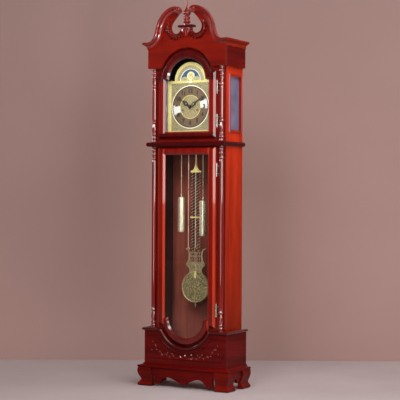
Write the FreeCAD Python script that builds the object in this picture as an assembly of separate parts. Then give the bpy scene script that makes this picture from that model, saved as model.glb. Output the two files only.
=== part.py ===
import FreeCAD, Part
import math
import os

os.makedirs("parts", exist_ok=True)
V = FreeCAD.Vector

# Sizes in millimetres. X runs to the right seen from the front, the front faces -Y, Z is up.
# The origin is on the floor under the middle of the clock.

# Widths, from the doors outwards
door_half = 174.0
door_lap = 14.0
hinge_room = 16.0
column_room = 15.0
base_side = 28.0
frieze_side = 15.0
stile_inner = door_half - door_lap
recess_x = door_half + hinge_room
column_x = recess_x + column_room
case_half = column_x + column_room
base_half = case_half + base_side
frieze_half = case_half + frieze_side

# Depths, from the face of the front frame
frame_y = -72.0
case_depth = 195.0
stile_depth = 20.0
recess_depth = 12.0
board = 18.0
back_thick = 10.0
base_gap = 4.0
waist_step = 19.0
frieze_thick = 22.0
column_step = 3.0
back_y = frame_y + case_depth
inside_y = back_y - back_thick
base_y = frame_y - base_gap - board
waist_y = frame_y - waist_step
frieze_y = frame_y - frieze_thick
column_y = frame_y - column_step

# Heights, from the floor up
feet_height = 99.0
base_height = 199.0
trunk_height = 969.0
waist_height = 22.0
hood_height = 391.0
frieze_height = 138.0
top_sink = 42.0
base_top = feet_height + base_height
waist_z = base_top + trunk_height
hood_z = waist_z + waist_height
frieze_z = hood_z + hood_height
cornice_top = frieze_z + frieze_height
case_top = cornice_top - top_sink

# Base and feet
plinth_height = 23.0
plinth_out = 29.0
foot_set = 14.0
foot_wing = 85.0
foot_thick = 24.0
apron_set = 4.0
apron_slot = 15.0
slot_top = 66.0
slot_foot = 28.0
base_mould_out = 11.0
base_mould_height = 15.0
bead_inset = 32.0
bead_drop = 30.0
bead_rise = 28.0
bead_r = 3.5

# U-shaped end of the trunk door, and the cut in the base that follows it
u_inset = 28.0
u_gap = 10.0
u_rest = 112.0
u_round = 12.0
u_radius = door_half - u_inset
u_centre_z = feet_height + u_rest + u_gap + u_radius

# Doors and their panes
door_thick = 20.0
door_gap = 0.5
lip_width = 10.0
lip_thick = 11.0
bevel_width = 10.0
bevel_depth = 9.0
glass_thick = 4.0
pane_set = 8.0
rabbet = 6.0
door_stile = 43.0
frame_lap = 14.0
glass_half = door_half - door_stile
pane_y = frame_y - pane_set

# Trunk door
trunk_rise = 26.0
trunk_head = 8.0
trunk_top_rail = 38.0
trunk_shoulder = 42.0
trunk_glass_inset = 25.0
glass_round = 4.0
trunk_door_bottom = base_top + trunk_rise
trunk_door_top = waist_z - trunk_head
trunk_glass_top = trunk_door_top - trunk_top_rail
trunk_glass_shoulder = trunk_door_bottom + trunk_shoulder
trunk_glass_r = glass_half - trunk_glass_inset

# Hood door and its arch
hood_rise = 20.0
hood_bottom_rail = 34.0
shoulder_drop = 27.0
shoulder_rail = 39.0
arch_drop = 59.0
arch_inset = 22.0
arch_gap = 9.0
hood_glass_inset = 21.0
hood_door_bottom = hood_z + hood_rise
hood_door_shoulder = frieze_z - shoulder_drop
hood_glass_bottom = hood_door_bottom + hood_bottom_rail
hood_glass_shoulder = hood_door_shoulder - shoulder_rail
hood_glass_r = glass_half - hood_glass_inset
arch_centre_z = frieze_z - arch_drop
arch_radius = door_half - arch_inset

# Side windows
window_front = 50.0
window_rear = 20.0
window_rise = 33.0
window_drop = 44.0
window_flange = 5.0
window_rim = 8.0
window_y0 = frame_y + window_front
window_y1 = back_y - window_rear
window_z0 = hood_door_bottom + window_rise
window_z1 = frieze_z - window_drop

# Hinges
hinge_height = 64.0
knuckle_r = 3.0
pin_r = 1.5
leaf_thick = 1.2
leaf_step = 4.0
knuckle_gap = 0.2
run_fit = 0.05
hood_hinge_foot = 86.0
hood_hinge_head = 83.0
trunk_hinge_foot = 90.0
trunk_hinge_head = 118.0
hood_hinges = (hood_door_bottom + hood_hinge_foot, hood_door_shoulder - hood_hinge_head)
trunk_hinges = (trunk_door_bottom + trunk_hinge_foot, trunk_door_top - trunk_hinge_head)

# Waist moulding, columns, cornice and pediment
waist_out = 17.0
column_r = 12.5
ring_r = 13.0
ring_swell = 1.6
trunk_foot_turning = 117.0
trunk_head_turning = 75.0
hood_foot_turning = 118.0
hood_head_turning = 108.0
cornice_out = 24.0
swan_width = 36.0
swan_edge = 6.0
scroll_x = 45.0
scroll_rise = 160.0
scroll_r = 18.0
pedestal_half = 33.0
carving_depth = 5.0
plate_lift = 69.0
finial_plate_thick = 12.0
pediment_thick = 12.0
finial_plate_half = 44.0
finial_plate_depth = 38.0
finial_tall = 159.0
finial_r = 21.0
scroll_z = cornice_top + scroll_rise
finial_plate_z = cornice_top + plate_lift

# Dial
dial_gap = 6.0
dial_thick = 2.0
dial_lap = 8.0
dial_dip = 1.0
dial_arch_inset = 13.0
chapter_margin = 25.0
chapter_width = 51.0
chapter_thick = 1.2
centre_thick = 0.6
moon_margin = 37.0
arch_band = 20.0
band_thick = 1.0
moon_drop = 11.0
moon_lap = 12.0
moon_thick = 1.2
moon_gap = 0.5
moon_stud_r = 3.0
hemisphere_r = 22.0
hemisphere_gap = 2.0
winding_hole_r = 6.0
dial_y = frame_y + stile_depth + dial_gap
dial_half = glass_half + dial_lap
dial_bottom = hood_glass_bottom - dial_lap
dial_top = hood_glass_shoulder - dial_dip
dial_z = (dial_bottom + dial_top) / 2.0
dial_arch_r = hood_glass_r - dial_arch_inset
chapter_outer = dial_half - chapter_margin
chapter_inner = chapter_outer - chapter_width
moon_r = dial_arch_r - moon_margin
moon_disc_z = dial_top - moon_drop
moon_disc_r = moon_r + moon_lap
hemisphere_x = moon_r - hemisphere_r - hemisphere_gap

# Hands
hand_gap = 6.0
hand_step = 5.0
hand_thick = 1.2
centre_r = 2.5
pipe_r = 5.0
hour_boss_r = 9.0
minute_boss_r = 7.0
minute_short = 15.0
hour_angle = 305.0
minute_angle = 58.0
hour_hand_y = dial_y - hand_gap
minute_hand_y = hour_hand_y - hand_step

# Movement
plate_gap = 10.0
plate_space = 33.0
plate_thick = 3.0
plate_half = 78.0
plate_rise = 86.0
seat_drop = 76.0
seat_lap = 4.0
seat_cheek = 60.0
pillar_r = 5.0
pillar_x = 54.0
pillar_inset = 12.0
dial_foot_r = 3.5
dial_foot_x = 66.0
arbor_x = 44.0
arbor_drop = 18.0
arbor_r = 4.0
winding_square = 5.0
sprocket_r = 22.0
sprocket_width = 8.0
sprocket_rim = 3.0
great_wheel_r = 32.0
chain_set = 10.0
chain_r = 1.6
chain_slot = 18.0
gear_gap = 24.0
gear_thick = 2.0
stud_r = 1.5
escape_rise = 20.0
escape_r = 12.0
escape_set = 24.0
pivot_rise = 43.0
pivot_r = 2.0
crutch_drop = 34.0
fork_half = 7.0
fork_height = 6.0
fork_gap = 0.5
plate_front_y = dial_y + dial_thick + plate_gap
plate_back_y = plate_front_y + plate_thick + plate_space
rear_y = plate_back_y + plate_thick
plate_top = dial_z + plate_rise
seat_z = dial_z - seat_drop
arbor_z = dial_z - arbor_drop
chain_y = plate_front_y + chain_set
gear_y = plate_front_y - 1.0
escape_y = plate_front_y + escape_set
escape_z = dial_z + escape_rise
pivot_z = dial_z + pivot_rise
crutch_z = dial_z - crutch_drop

# Striking work
hammer_x = 36.0
hammer_pitch = 18.0
hammer_reach = 55.0
hammer_drop = 54.0
hammer_arm = 60.0
hammer_head_r = 5.0
hammer_head_length = 24.0
hammer_gap = 3.0
bush_r = 4.0
hammer_pin_r = 2.0
lug_thick = 4.0
gong_rod_r = 3.0
gong_lift = 60.0
gong_block = 30.0
gong_lengths = (370.0, 330.0)
hammer_y = rear_y + hammer_reach
hammer_z = dial_z - hammer_drop
gong_y = hammer_y + hammer_head_length - bush_r + hammer_gap + gong_rod_r
gong_z = plate_top + gong_lift

# Weights and pendulum
weight_r = 18.5
weight_length = 185.0
weight_cap = 6.0
left_drop = 641.0
right_drop = 660.0
tail_drop = 721.0
eye_r = 4.0
eye_rise = 14.0
tail_ring_r = 7.0
chain_gap = 0.1
pendulum_gap = 11.0
pendulum_length = 994.0
spring_length = 36.0
spring_thick = 0.4
spring_half = 5.0
bob_r = 82.0
bob_thick = 14.0
rod_spread = 7.5
rod_r = 3.0
cap_drop = 386.0
cap_half = 30.0
cap_height = 50.0
cap_thick = 10.0
crossbar_drop = 28.0
crossbar_half = 32.0
crossbar_height = 8.0
lyre_thick = 4.0
lyre_height = 106.0
nut_r = 4.5
pendulum_y = rear_y + pendulum_gap
bob_z = pivot_z - pendulum_length
rim_z = bob_z + bob_r
lyre_top = rim_z + lyre_height
cap_z = pivot_z - cap_drop
crossbar_z = (cap_z + lyre_top) / 2.0 - crossbar_drop


# Tools for drawing

def box(x0, x1, y0, y1, z0, z1):
    return Part.makeBox(x1 - x0, y1 - y0, z1 - z0, V(x0, y0, z0))


def rod_x(y, z, r, x0, x1):
    return Part.makeCylinder(r, x1 - x0, V(x0, y, z), V(1, 0, 0))


def rod_y(x, z, r, y0, y1):
    return Part.makeCylinder(r, y1 - y0, V(x, y0, z), V(0, 1, 0))


def rod_z(x, y, r, z0, z1):
    return Part.makeCylinder(r, z1 - z0, V(x, y, z0), V(0, 0, 1))


def mirror(shape):
    return shape.mirror(V(0, 0, 0), V(1, 0, 0))


def pair(shape):
    return Part.makeCompound([shape, mirror(shape)])


def fuse(shapes):
    whole = shapes[0]
    for extra in shapes[1:]:
        whole = whole.fuse(extra)
    return whole.removeSplitter()


def save(name, shape):
    shape.exportStep("parts/" + name + ".step")


# A path starts at a point. Each later step is a point (straight line), a pair of points
# (arc through the first to the second) or a longer list (smooth curve through all of them).
def path_wire(start, steps, place):
    edges = []
    here = start
    for step in steps:
        if not isinstance(step[0], (tuple, list)):
            edges.append(Part.makeLine(place(here), place(step)))
            here = step
        elif len(step) == 2:
            edges.append(Part.Arc(place(here), place(step[0]), place(step[1])).toShape())
            here = step[1]
        else:
            curve = Part.BSplineCurve()
            curve.interpolate([place(p) for p in [here] + list(step)])
            edges.append(curve.toShape())
            here = step[-1]
    return Part.Wire(edges)


def front_wire(start, steps, y):
    return path_wire(start, steps, lambda p: V(p[0], y, p[1]))


def front_plate(start, steps, y0, y1):
    return Part.Face(front_wire(start, steps, y0)).extrude(V(0, y1 - y0, 0))


def side_plate(start, steps, x0, x1):
    wire = path_wire(start, steps, lambda p: V(x0, p[0], p[1]))
    return Part.Face(wire).extrude(V(x1 - x0, 0, 0))


def turned(start, steps, x, y):
    wire = path_wire(start, steps, lambda p: V(x + p[0], y, p[1]))
    return Part.Face(wire).revolve(V(x, y, 0), V(0, 0, 1), 360)


def turned_y(start, steps, x, z):
    wire = path_wire(start, steps, lambda p: V(x + p[0], p[1], z))
    return Part.Face(wire).revolve(V(x, 0, z), V(0, 1, 0), 360)


def swept(spine, section, corner):
    return spine.makePipeShell([section], True, False, corner)


# A moulding that runs round the front and both sides: profile points are (out, z).
def three_sided(half, front, start, steps):
    points = [V(half, back_y, 0), V(half, front, 0), V(-half, front, 0), V(-half, back_y, 0)]
    spine = Part.makePolygon(points)
    section = path_wire(start, steps, lambda p: V(half + p[0], back_y, p[1]))
    return swept(spine, section, 1)


# A toothed disc on an axis along Y, with straight-sided teeth.
def toothed(x, z, pitch_r, teeth, y0, y1, turn):
    module = 2.0 * pitch_r / teeth
    tip = pitch_r + 0.8 * module
    root = pitch_r - 1.2 * module
    step = 2.0 * math.pi / teeth
    points = []
    for i in range(teeth):
        centre = turn + i * step
        for r, part in ((root, -0.30), (tip, -0.11), (tip, 0.11), (root, 0.30)):
            angle = centre + part * step
            points.append(V(x + r * math.cos(angle), y0, z + r * math.sin(angle)))
    points.append(points[0])
    return Part.Face(Part.makePolygon(points)).extrude(V(0, y1 - y0, 0))


# The U-shaped line: level shoulders at height z, rounded into an arc of radius r.
def u_line(edge, r, z, rounding):
    reach = r + rounding
    drop = u_centre_z - z + rounding
    round_x = math.sqrt(reach * reach - drop * drop)
    low_x = round_x * r / reach
    low_z = u_centre_z - drop * r / reach
    mid_x = low_x - round_x
    mid_z = low_z - z + 2.0 * rounding
    scale = rounding / math.hypot(mid_x, mid_z)
    mid = (round_x + mid_x * scale, z - rounding + mid_z * scale)
    steps = [(round_x, z), (mid, (low_x, low_z)), ((0.0, u_centre_z - r), (-low_x, low_z))]
    steps.append(((-mid[0], mid[1]), (-round_x, z)))
    steps.append((-edge, z))
    return steps


# Base

def make_feet():
    half = base_half + plinth_out - foot_set
    front = base_y - plinth_out + foot_set
    wing = foot_wing - foot_set
    # The ogee's points are (out, share of the height)
    curve = ((12.5, 0.89), (13.0, 0.76), (8.0, 0.58), (0.0, 0.41), (-2.0, 0.31), (6.0, 0.2), (12.0, 0.11),
             (5.0, 0.0))
    start = (9.0, feet_height)
    inner = 5.0 - foot_thick
    ogee = [[(out, share * feet_height) for out, share in curve], (inner, 0.0), (inner, feet_height), start]
    section = path_wire(start, ogee, lambda p: V(half + p[0], front + wing, p[1]))
    spine = Part.makePolygon([V(half, front + wing, 0), V(half, front, 0), V(half - wing, front, 0)])
    front_foot = swept(spine, section, 1)
    section = path_wire(start, ogee, lambda p: V(half + p[0], back_y, p[1]))
    rear_foot = Part.Face(section).extrude(V(0, -foot_wing, 0))
    save("feet", Part.makeCompound([front_foot, mirror(front_foot), rear_foot, mirror(rear_foot)]))

    # Scalloped front apron: its points are (share of the half width, height)
    end = half - wing
    drop = end - apron_slot
    lobes = (((0.08, 22.0), (0.147, 31.0)),
             ((0.339, 45.0), (0.531, 52.0), (0.678, 44.0), (0.78, 27.0)),
             ((0.847, 14.0), (0.915, 16.0), (1.0, slot_foot)))
    right = [[(share * drop, z) for share, z in lobe] for lobe in lobes]
    right += [(drop, slot_top), (end, slot_top), (end, feet_height)]
    point = (0.0, 20.0)
    edge = front_wire(point, right + [(0.0, feet_height), point], front - apron_set)
    apron = Part.Face(edge).extrude(V(0, board, 0))
    front_apron = fuse([apron, mirror(apron)])

    start_y = front + wing
    end_y = back_y - foot_wing
    middle = (start_y + end_y) / 2.0
    span = (end_y - start_y) / 2.0
    wave = ((-0.5, 60.0), (-0.25, 44.0), (0.0, 36.0), (0.25, 44.0), (0.5, 60.0), (1.0, 52.0))
    steps = [(start_y, 52.0), [(middle + share * span, z) for share, z in wave]]
    steps += [(end_y, feet_height), (start_y, feet_height)]
    side_apron = side_plate((start_y, feet_height), steps, half + apron_set - board, half + apron_set)
    save("aprons", Part.makeCompound([front_apron, side_apron, mirror(side_apron)]))


def make_base():
    low = feet_height
    top = low + plinth_height
    out = plinth_out
    nose = out - 3.0
    steps = [(nose, low), ((out, low + 5.0), (nose, low + 10.0)), (out - 9.0, low + 11.0)]
    steps += [((out - 19.0, low + 13.0), (4.0, top)), (0.0, top), (0.0, low)]
    save("plinth_moulding", three_sided(base_half, base_y, (0.0, low), steps))

    cut_r = u_radius + u_gap
    inner = base_y + board
    cut = u_line(base_half, cut_r, base_top, u_round)
    outline = cut + [(-base_half, low), (base_half, low), (base_half, base_top)]
    panel = front_plate((base_half, base_top), outline, base_y, inner)
    save("base_sides", pair(box(case_half, base_half, inner, back_y, low, base_top)))
    inside = case_half - board
    save("base_floor", box(-inside, inside, inner, inside_y, low, low + board))

    # Half-round moulding on the rim of the base, swept along both sides and round the U
    level = base_top + 1.0
    half_height = base_mould_height / 2.0
    front = front_wire((base_half, level), u_line(base_half, cut_r + 6.0, level, u_round + 6.0), base_y)
    side = Part.makeLine(V(base_half, back_y, level), V(base_half, base_y, level))
    far = Part.makeLine(V(-base_half, base_y, level), V(-base_half, back_y, level))
    foot = 1.5 - half_height
    half_round = [(4.0, foot), ((base_mould_out, 1.0), (5.0, half_height + 0.5))]
    half_round += [(0.0, half_height + 1.5), (0.0, foot)]
    section = path_wire((0.0, foot), half_round, lambda p: V(base_half + p[0], back_y, level + p[1]))
    save("base_top_moulding", swept(Part.Wire([side] + front.Edges + [far]), section, 1))

    # Raised bead round the panel
    half = base_half - bead_inset
    high = base_top - bead_drop
    bottom = top + bead_rise
    border = u_line(half, cut_r + bead_inset, high, u_round + 2.0)
    border += [(-half, bottom), (half, bottom), (half, high)]
    spine = front_wire((half, high), border, base_y)
    bead = [((-bead_r, 0.0), (0.0, bead_r)), (0.0, -bead_r)]
    section = path_wire((0.0, -bead_r), bead, lambda p: V(half, base_y + p[0], high + p[1]))
    save("base_front", Part.makeCompound([panel, swept(spine, section, 1)]))


# Case

def make_case():
    inside = case_half - board
    y0 = frame_y + stile_depth
    side = box(inside, case_half, y0, back_y, feet_height, case_top)
    side = side.cut(box(inside - 1.0, case_half + 1.0, window_y0, window_y1, window_z0, window_z1))
    save("case_sides", pair(side))
    save("back_panel", box(-inside, inside, inside_y, back_y, feet_height, case_top))
    save("top_board", box(-case_half, case_half, frame_y, back_y, case_top, case_top + board))

    floor_top = feet_height + board
    stile = box(stile_inner, case_half, frame_y, y0, floor_top, case_top)
    recess = box(recess_x, case_half + 1.0, frame_y - 1.0, frame_y + recess_depth, 0.0, case_top + 1.0)
    save("front_stiles", pair(stile.cut(recess)))

    # Rails between the stiles: each stops short of the pane that it frames
    top = hood_glass_bottom - frame_lap
    waist_rail = box(-stile_inner, stile_inner, frame_y, y0, trunk_glass_top + frame_lap, top)
    r = arch_radius - frame_lap
    low = hood_door_shoulder - frame_lap
    x = math.sqrt(r * r - (low - arch_centre_z) ** 2)
    steps = [(-stile_inner, case_top), (-stile_inner, low), (-x, low), ((0.0, arch_centre_z + r), (x, low))]
    steps += [(stile_inner, low), (stile_inner, case_top)]
    top_rail = front_plate((stile_inner, case_top), steps, frame_y, y0)
    low = trunk_door_bottom + frame_lap
    steps = u_line(stile_inner, u_radius - frame_lap, low, u_round)
    steps += [(-stile_inner, floor_top), (stile_inner, floor_top), (stile_inner, low)]
    bottom_rail = front_plate((stile_inner, low), steps, frame_y, y0)
    save("front_rails", Part.makeCompound([bottom_rail, waist_rail, top_rail]))

    edge = waist_out - 6.0
    middle = (waist_z + hood_z) / 2.0
    half_round = [(edge, waist_z), ((waist_out, middle), (edge, hood_z)), (0.0, hood_z), (0.0, waist_z)]
    ring = three_sided(case_half, waist_y, (0.0, waist_z), half_round)
    fill = box(-case_half, case_half, waist_y, frame_y, waist_z, hood_z)
    save("waist_moulding", fuse([ring, fill]))


def window_box(x0, x1, spread):
    y0 = window_y0 - spread
    y1 = window_y1 + spread
    return box(x0, x1, y0, y1, window_z0 - spread, window_z1 + spread)


def make_windows():
    pane = case_half - window_rim
    flange = window_box(case_half, case_half + window_flange, window_flange)
    liner = window_box(pane, case_half, 0.0)
    hole = window_box(pane - 1.0, case_half + window_flange + 1.0, -window_rim)
    save("window_frames", pair(fuse([flange, liner]).cut(hole)))
    save("window_glass", pair(window_box(pane - glass_thick, pane, 0.0)))


# A turned column. Entries are (distance from the end, radius); two alike in radius make a ring,
# whose edge swells in an arc.
# Turned work: an entry is (share of the turned length, share of the ring radius).
# Two equal radii in a row make a ring.
def turning(entries, length, z0, up):
    steps = []
    last = None
    for distance, width in entries:
        here = (width * ring_r, z0 + up * distance * length)
        if last is not None and last[0] == here[0]:
            steps.append(((here[0] + ring_swell, (last[1] + here[1]) / 2.0), here))
        else:
            steps.append(here)
        last = here
    return steps


def column(z0, z1, foot, foot_length, head, head_length):
    neck = 4.0
    lower = turning(foot, foot_length, z0, 1.0)
    shaft = [(column_r, z0 + foot_length + neck), (column_r, z1 - head_length - neck)]
    upper = turning(head, head_length, z1, -1.0)
    return turned((0.0, z0), lower + shaft + upper + [(0.0, z1), (0.0, z0)], column_x, column_y)


def make_columns():
    foot = [(0.0, 1.0), (0.08, 1.0), (0.1, 0.8), (0.14, 0.8), (0.16, 0.98), (0.23, 0.98), (0.25, 0.8), (0.29, 0.8),
            (0.31, 0.96), (0.37, 0.96), (0.39, 0.76), (0.44, 0.78), (0.55, 1.02), (0.68, 0.94), (0.82, 0.65),
            (0.86, 0.9), (0.93, 0.9), (0.96, 0.76), (1.0, 0.88)]
    head = [(1.0, 0.88), (0.95, 0.76), (0.91, 0.94), (0.8, 0.94), (0.76, 0.76), (0.68, 0.78), (0.6, 0.96),
            (0.47, 0.96), (0.43, 0.78), (0.36, 0.8), (0.31, 0.98), (0.19, 0.98), (0.15, 0.8), (0.11, 1.0),
            (0.0, 1.0)]
    trunk = column(base_top, waist_z, foot, trunk_foot_turning, head, trunk_head_turning)
    head = [(1.0, 0.88), (0.97, 0.78), (0.93, 0.95), (0.85, 0.95), (0.81, 0.78), (0.7, 0.92), (0.6, 0.96),
            (0.56, 0.78), (0.52, 0.8), (0.48, 0.96), (0.4, 0.96), (0.36, 0.78), (0.31, 0.8), (0.27, 1.0),
            (0.19, 1.0), (0.15, 0.8), (0.11, 0.82), (0.08, 1.0), (0.0, 1.0)]
    hood = column(hood_z, frieze_z, foot, hood_foot_turning, head, hood_head_turning)
    save("columns", Part.makeCompound([trunk, mirror(trunk), hood, mirror(hood)]))


# Top

# Points moved sideways from a line, to the left of its direction
def shifted(points, distance):
    moved = []
    for i in range(len(points)):
        a = points[max(i - 1, 0)]
        b = points[min(i + 1, len(points) - 1)]
        dx = b[0] - a[0]
        dz = b[1] - a[1]
        length = math.hypot(dx, dz)
        moved.append((points[i][0] - distance * dz / length, points[i][1] + distance * dx / length))
    return moved


# The top line of a swan neck, from the corner of the cornice up to the scroll, as shares of its span
def swan_line():
    shape = ((0.884, 0.011), (0.795, 0.073), (0.732, 0.191), (0.689, 0.348), (0.647, 0.506), (0.563, 0.685),
             (0.453, 0.831), (0.316, 0.938), (0.158, 1.0), (0.0, 1.0))
    width = frieze_half - scroll_x
    height = scroll_z + scroll_r - cornice_top
    return [(scroll_x + across * width, cornice_top + up * height) for across, up in shape]


# The shape that a mitre plane cuts off, on one side of the line at 45 degrees through the corner
def mitre_wedge(far_x, far_y, low):
    reach = 2.0 * cornice_out
    corner = V(frieze_half, frieze_y, low)
    points = [corner, V(frieze_half + reach, frieze_y - reach, low), V(far_x, far_y, low), corner]
    return Part.Face(Part.makePolygon(points)).extrude(V(0, 0, swan_width + 2.0))


def make_frieze():
    r = arch_radius + arch_gap
    x = math.sqrt(r * r - (frieze_z - arch_centre_z) ** 2)
    rise = math.radians(45.0)
    middle = (r * math.cos(rise), arch_centre_z + r * math.sin(rise))
    corner = (frieze_half, cornice_top)
    edge = shifted([corner] + swan_line(), swan_edge)[1:]
    low = finial_plate_z
    void = [(scroll_x + 11.0, low + 62.0), (80.0, low + 35.0), (93.0, low + 10.0), (89.0, low - 14.0),
            (66.0, low - 31.0), (44.0, low - 25.0), (pedestal_half, low - 5.0)]
    steps = [(frieze_half, frieze_z), (frieze_half, cornice_top - swan_edge), edge]
    steps += [((scroll_x - scroll_r + swan_edge, scroll_z), (scroll_x, scroll_z - scroll_r + 2.0)), void]
    steps += [(pedestal_half, low), (0.0, low), (0.0, arch_centre_z + r), (middle, (x, frieze_z))]
    half = front_plate((x, frieze_z), steps, frieze_y, frame_y)
    thin_y = frieze_y + pediment_thick
    hollow = box(-1.0, frieze_half, thin_y, frame_y + 1.0, cornice_top, scroll_z + 2.0 * scroll_r)
    half = half.cut(hollow)
    save("frieze_front", fuse([half, mirror(half)]))
    save("frieze_sides", pair(box(case_half, frieze_half, frame_y, back_y, frieze_z, cornice_top)))

    inner = [(84.0, low + 45.0), (99.0, low + 13.0), (93.0, low - 19.0), (66.0, low - 37.0), (40.0, low - 30.0),
             (28.0, low - 11.0)]
    outer = [(15.0, low - 19.0), (32.0, low - 44.0), (66.0, low - 53.0), (103.0, low - 36.0),
             (117.0, low - 1.0), (110.0, low + 35.0)]
    leaf = front_plate(inner[0], [inner[1:], outer[0], outer[1:], inner[0]], frieze_y - carving_depth, frieze_y)
    save("pediment_carving", pair(leaf))


# The cornice profile, as (out, z), runs along each side and is then swept up each swan neck.
def make_cornice():
    low = cornice_top - swan_width
    out = cornice_out
    fillet = out - 8.0
    profile = [(3.0, low), (4.0, low + 6.0), ((8.0, low + 16.0), (fillet, low + 21.0)), (fillet, low + 24.0)]
    profile += [((out - 3.0, low + 25.0), (out, low + 30.0)), (out, cornice_top), (0.0, cornice_top), (0.0, low)]
    reach = 2.0 * out
    section = path_wire((0.0, low), profile, lambda p: V(frieze_half + p[0], back_y, p[1]))
    run = Part.Face(section).extrude(V(0, frieze_y - out - back_y, 0))
    front_side = mitre_wedge(frieze_half, frieze_y - reach, low - 1.0)
    save("side_cornices", pair(run.cut(front_side)))

    start = (frieze_half + out, cornice_top)
    spine = front_wire(start, [(frieze_half, cornice_top), swan_line()], frieze_y)
    section = path_wire((0.0, low), profile, lambda p: V(start[0], frieze_y - p[0], p[1]))
    neck = swept(spine, section, 2).cut(mitre_wedge(frieze_half + reach, frieze_y, low - 1.0))
    face = frieze_y - out
    boss = [(scroll_r, frieze_y), (scroll_r, face + 4.0), (scroll_r - 5.0, face), (scroll_r - 7.0, face + 4.0)]
    boss += [((5.0, face), (0.0, face - 4.0)), (0.0, frieze_y)]
    roundel = turned_y((0.0, frieze_y), boss, scroll_x, scroll_z)
    save("swan_necks", pair(fuse([neck, roundel])))


def make_finial():
    top = finial_plate_z + finial_plate_thick
    y = frieze_y + pediment_thick / 2.0
    half_depth = finial_plate_depth / 2.0
    plate = box(-finial_plate_half, finial_plate_half, y - half_depth, y + half_depth, finial_plate_z, top)
    under = [e for e in plate.Edges if abs(e.CenterOfMass.z - finial_plate_z) < 0.1]
    plate = plate.makeChamfer(finial_plate_thick / 4.0, under)

    # The finial's points are (share of its radius, share of its height)
    def at(width, share):
        return width * finial_r, top + share * finial_tall

    steps = [at(0.81, 0.0), at(0.81, 0.02), [at(0.66, 0.045), at(0.88, 0.09), at(0.68, 0.15)], at(0.66, 0.165)]
    steps += [(at(0.84, 0.23), at(0.64, 0.3)), at(0.64, 0.32), (at(1.0, 0.4), at(0.71, 0.47)), at(0.71, 0.485)]
    steps += [[at(0.42, 0.53), at(0.26, 0.58), at(0.2, 0.66)], at(0.12, 0.985), at(0.0, 1.0), at(0.0, 0.0)]
    save("finial", Part.makeCompound([plate, turned((0.0, top), steps, 0.0, y)]))


# Doors

def hood_outline(inset):
    half = door_half - inset
    r = arch_radius - inset
    shoulder = hood_door_shoulder - inset
    x = math.sqrt(r * r - (shoulder - arch_centre_z) ** 2)
    low = hood_door_bottom + inset
    steps = [(half, shoulder), (x, shoulder), ((0.0, arch_centre_z + r), (-x, shoulder)), (-half, shoulder)]
    return (half, low), steps + [(-half, low), (half, low)]


def hood_opening(spread):
    half = glass_half + spread
    r = hood_glass_r + spread
    shoulder = hood_glass_shoulder + spread
    x = math.sqrt(r * r - spread * spread)
    low = hood_glass_bottom - spread
    arch_top = (0.0, hood_glass_shoulder + r)
    steps = [(half, shoulder), (x, shoulder), (arch_top, (-x, shoulder)), (-half, shoulder)]
    return (half, low), steps + [(-half, low), (half, low)]


def trunk_outline(inset):
    half = door_half - inset
    low = trunk_door_bottom + inset
    top = trunk_door_top - inset
    steps = u_line(half, u_radius - inset, low, u_round + inset)
    return (half, low), steps + [(-half, top), (half, top), (half, low)]


def trunk_opening(spread):
    half = glass_half + spread
    low = trunk_glass_shoulder - spread
    top = trunk_glass_top + spread
    steps = u_line(half, trunk_glass_r + spread, low, glass_round)
    return (half, low), steps + [(-half, top), (half, top), (half, low)]


def door_frame(outline, opening):
    back = frame_y - door_gap
    lip = back - lip_thick
    front = back - door_thick
    foot = front + bevel_depth
    slab = front_plate(*outline(0.0), lip, back)
    field = Part.makeLoft([front_wire(*outline(0.0), lip), front_wire(*outline(lip_width), front)], True, True)
    bevel_edges = [front_wire(*opening(bevel_width), front), front_wire(*opening(0.0), foot)]
    bevel = Part.makeLoft(bevel_edges, True, True)
    frame = slab.fuse(field).cut(bevel)
    frame = frame.cut(front_plate(*opening(0.0), foot, back))
    return frame.cut(front_plate(*opening(rabbet), pane_y, back)).removeSplitter()


# A butt hinge: the door carries the middle knuckle, the case the outer two and the pin.
def hinge_halves(z):
    x = door_half + knuckle_r + door_gap
    y = frame_y - knuckle_r - door_gap
    third = hinge_height / 3.0
    low = z - hinge_height / 2.0
    high = low + hinge_height
    start = low + third + knuckle_gap
    end = high - third - knuckle_gap
    edge = door_half + leaf_thick
    door_leaf = box(door_half, edge, y - 2.0 * leaf_step, y - leaf_step, low, high)
    tab = box(door_half, edge, y - leaf_step, y, start, end)
    middle = rod_z(x, y, knuckle_r, start, end)
    door_part = fuse([door_leaf, tab, middle]).cut(rod_z(x, y, pin_r + run_fit, low, high))

    pieces = [box(x + leaf_step, recess_x, frame_y - leaf_thick, frame_y, low, high)]
    for foot in (low, high - third):
        pieces.append(box(x, x + leaf_step, frame_y - leaf_thick, frame_y, foot, foot + third))
        pieces.append(rod_z(x, y, knuckle_r, foot, foot + third))
    case_part = fuse(pieces).cut(rod_z(x, y, pin_r, low, high))
    tip_r = pin_r + 1.0
    tips = Part.makeSphere(tip_r, V(x, y, low - 1.0)).fuse(Part.makeSphere(tip_r, V(x, y, high + 1.0)))
    tips = tips.cut(rod_z(x, y, knuckle_r, low, high))
    pin = fuse([rod_z(x, y, pin_r, low - 1.0, high + 1.0), tips])
    return door_part, case_part, pin


def make_doors():
    doors = (("hood_door", hood_outline, hood_opening, hood_hinges),
             ("trunk_door", trunk_outline, trunk_opening, trunk_hinges))
    case_parts = []
    pins = []
    for name, outline, opening, heights in doors:
        save(name + "_frame", door_frame(outline, opening))
        save(name + "_glass", front_plate(*opening(rabbet), pane_y, pane_y + glass_thick))
        halves = [hinge_halves(z) for z in heights]
        save(name + "_hinge_leaves", Part.makeCompound([h[0] for h in halves]))
        case_parts += [h[1] for h in halves]
        pins += [h[2] for h in halves]
    save("case_hinges", Part.makeCompound(case_parts + pins))


# Dial

def half_disc(x, z, r, y0, y1):
    return front_plate((x + r, z), [((x, z + r), (x - r, z)), (x + r, z)], y0, y1)


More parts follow.
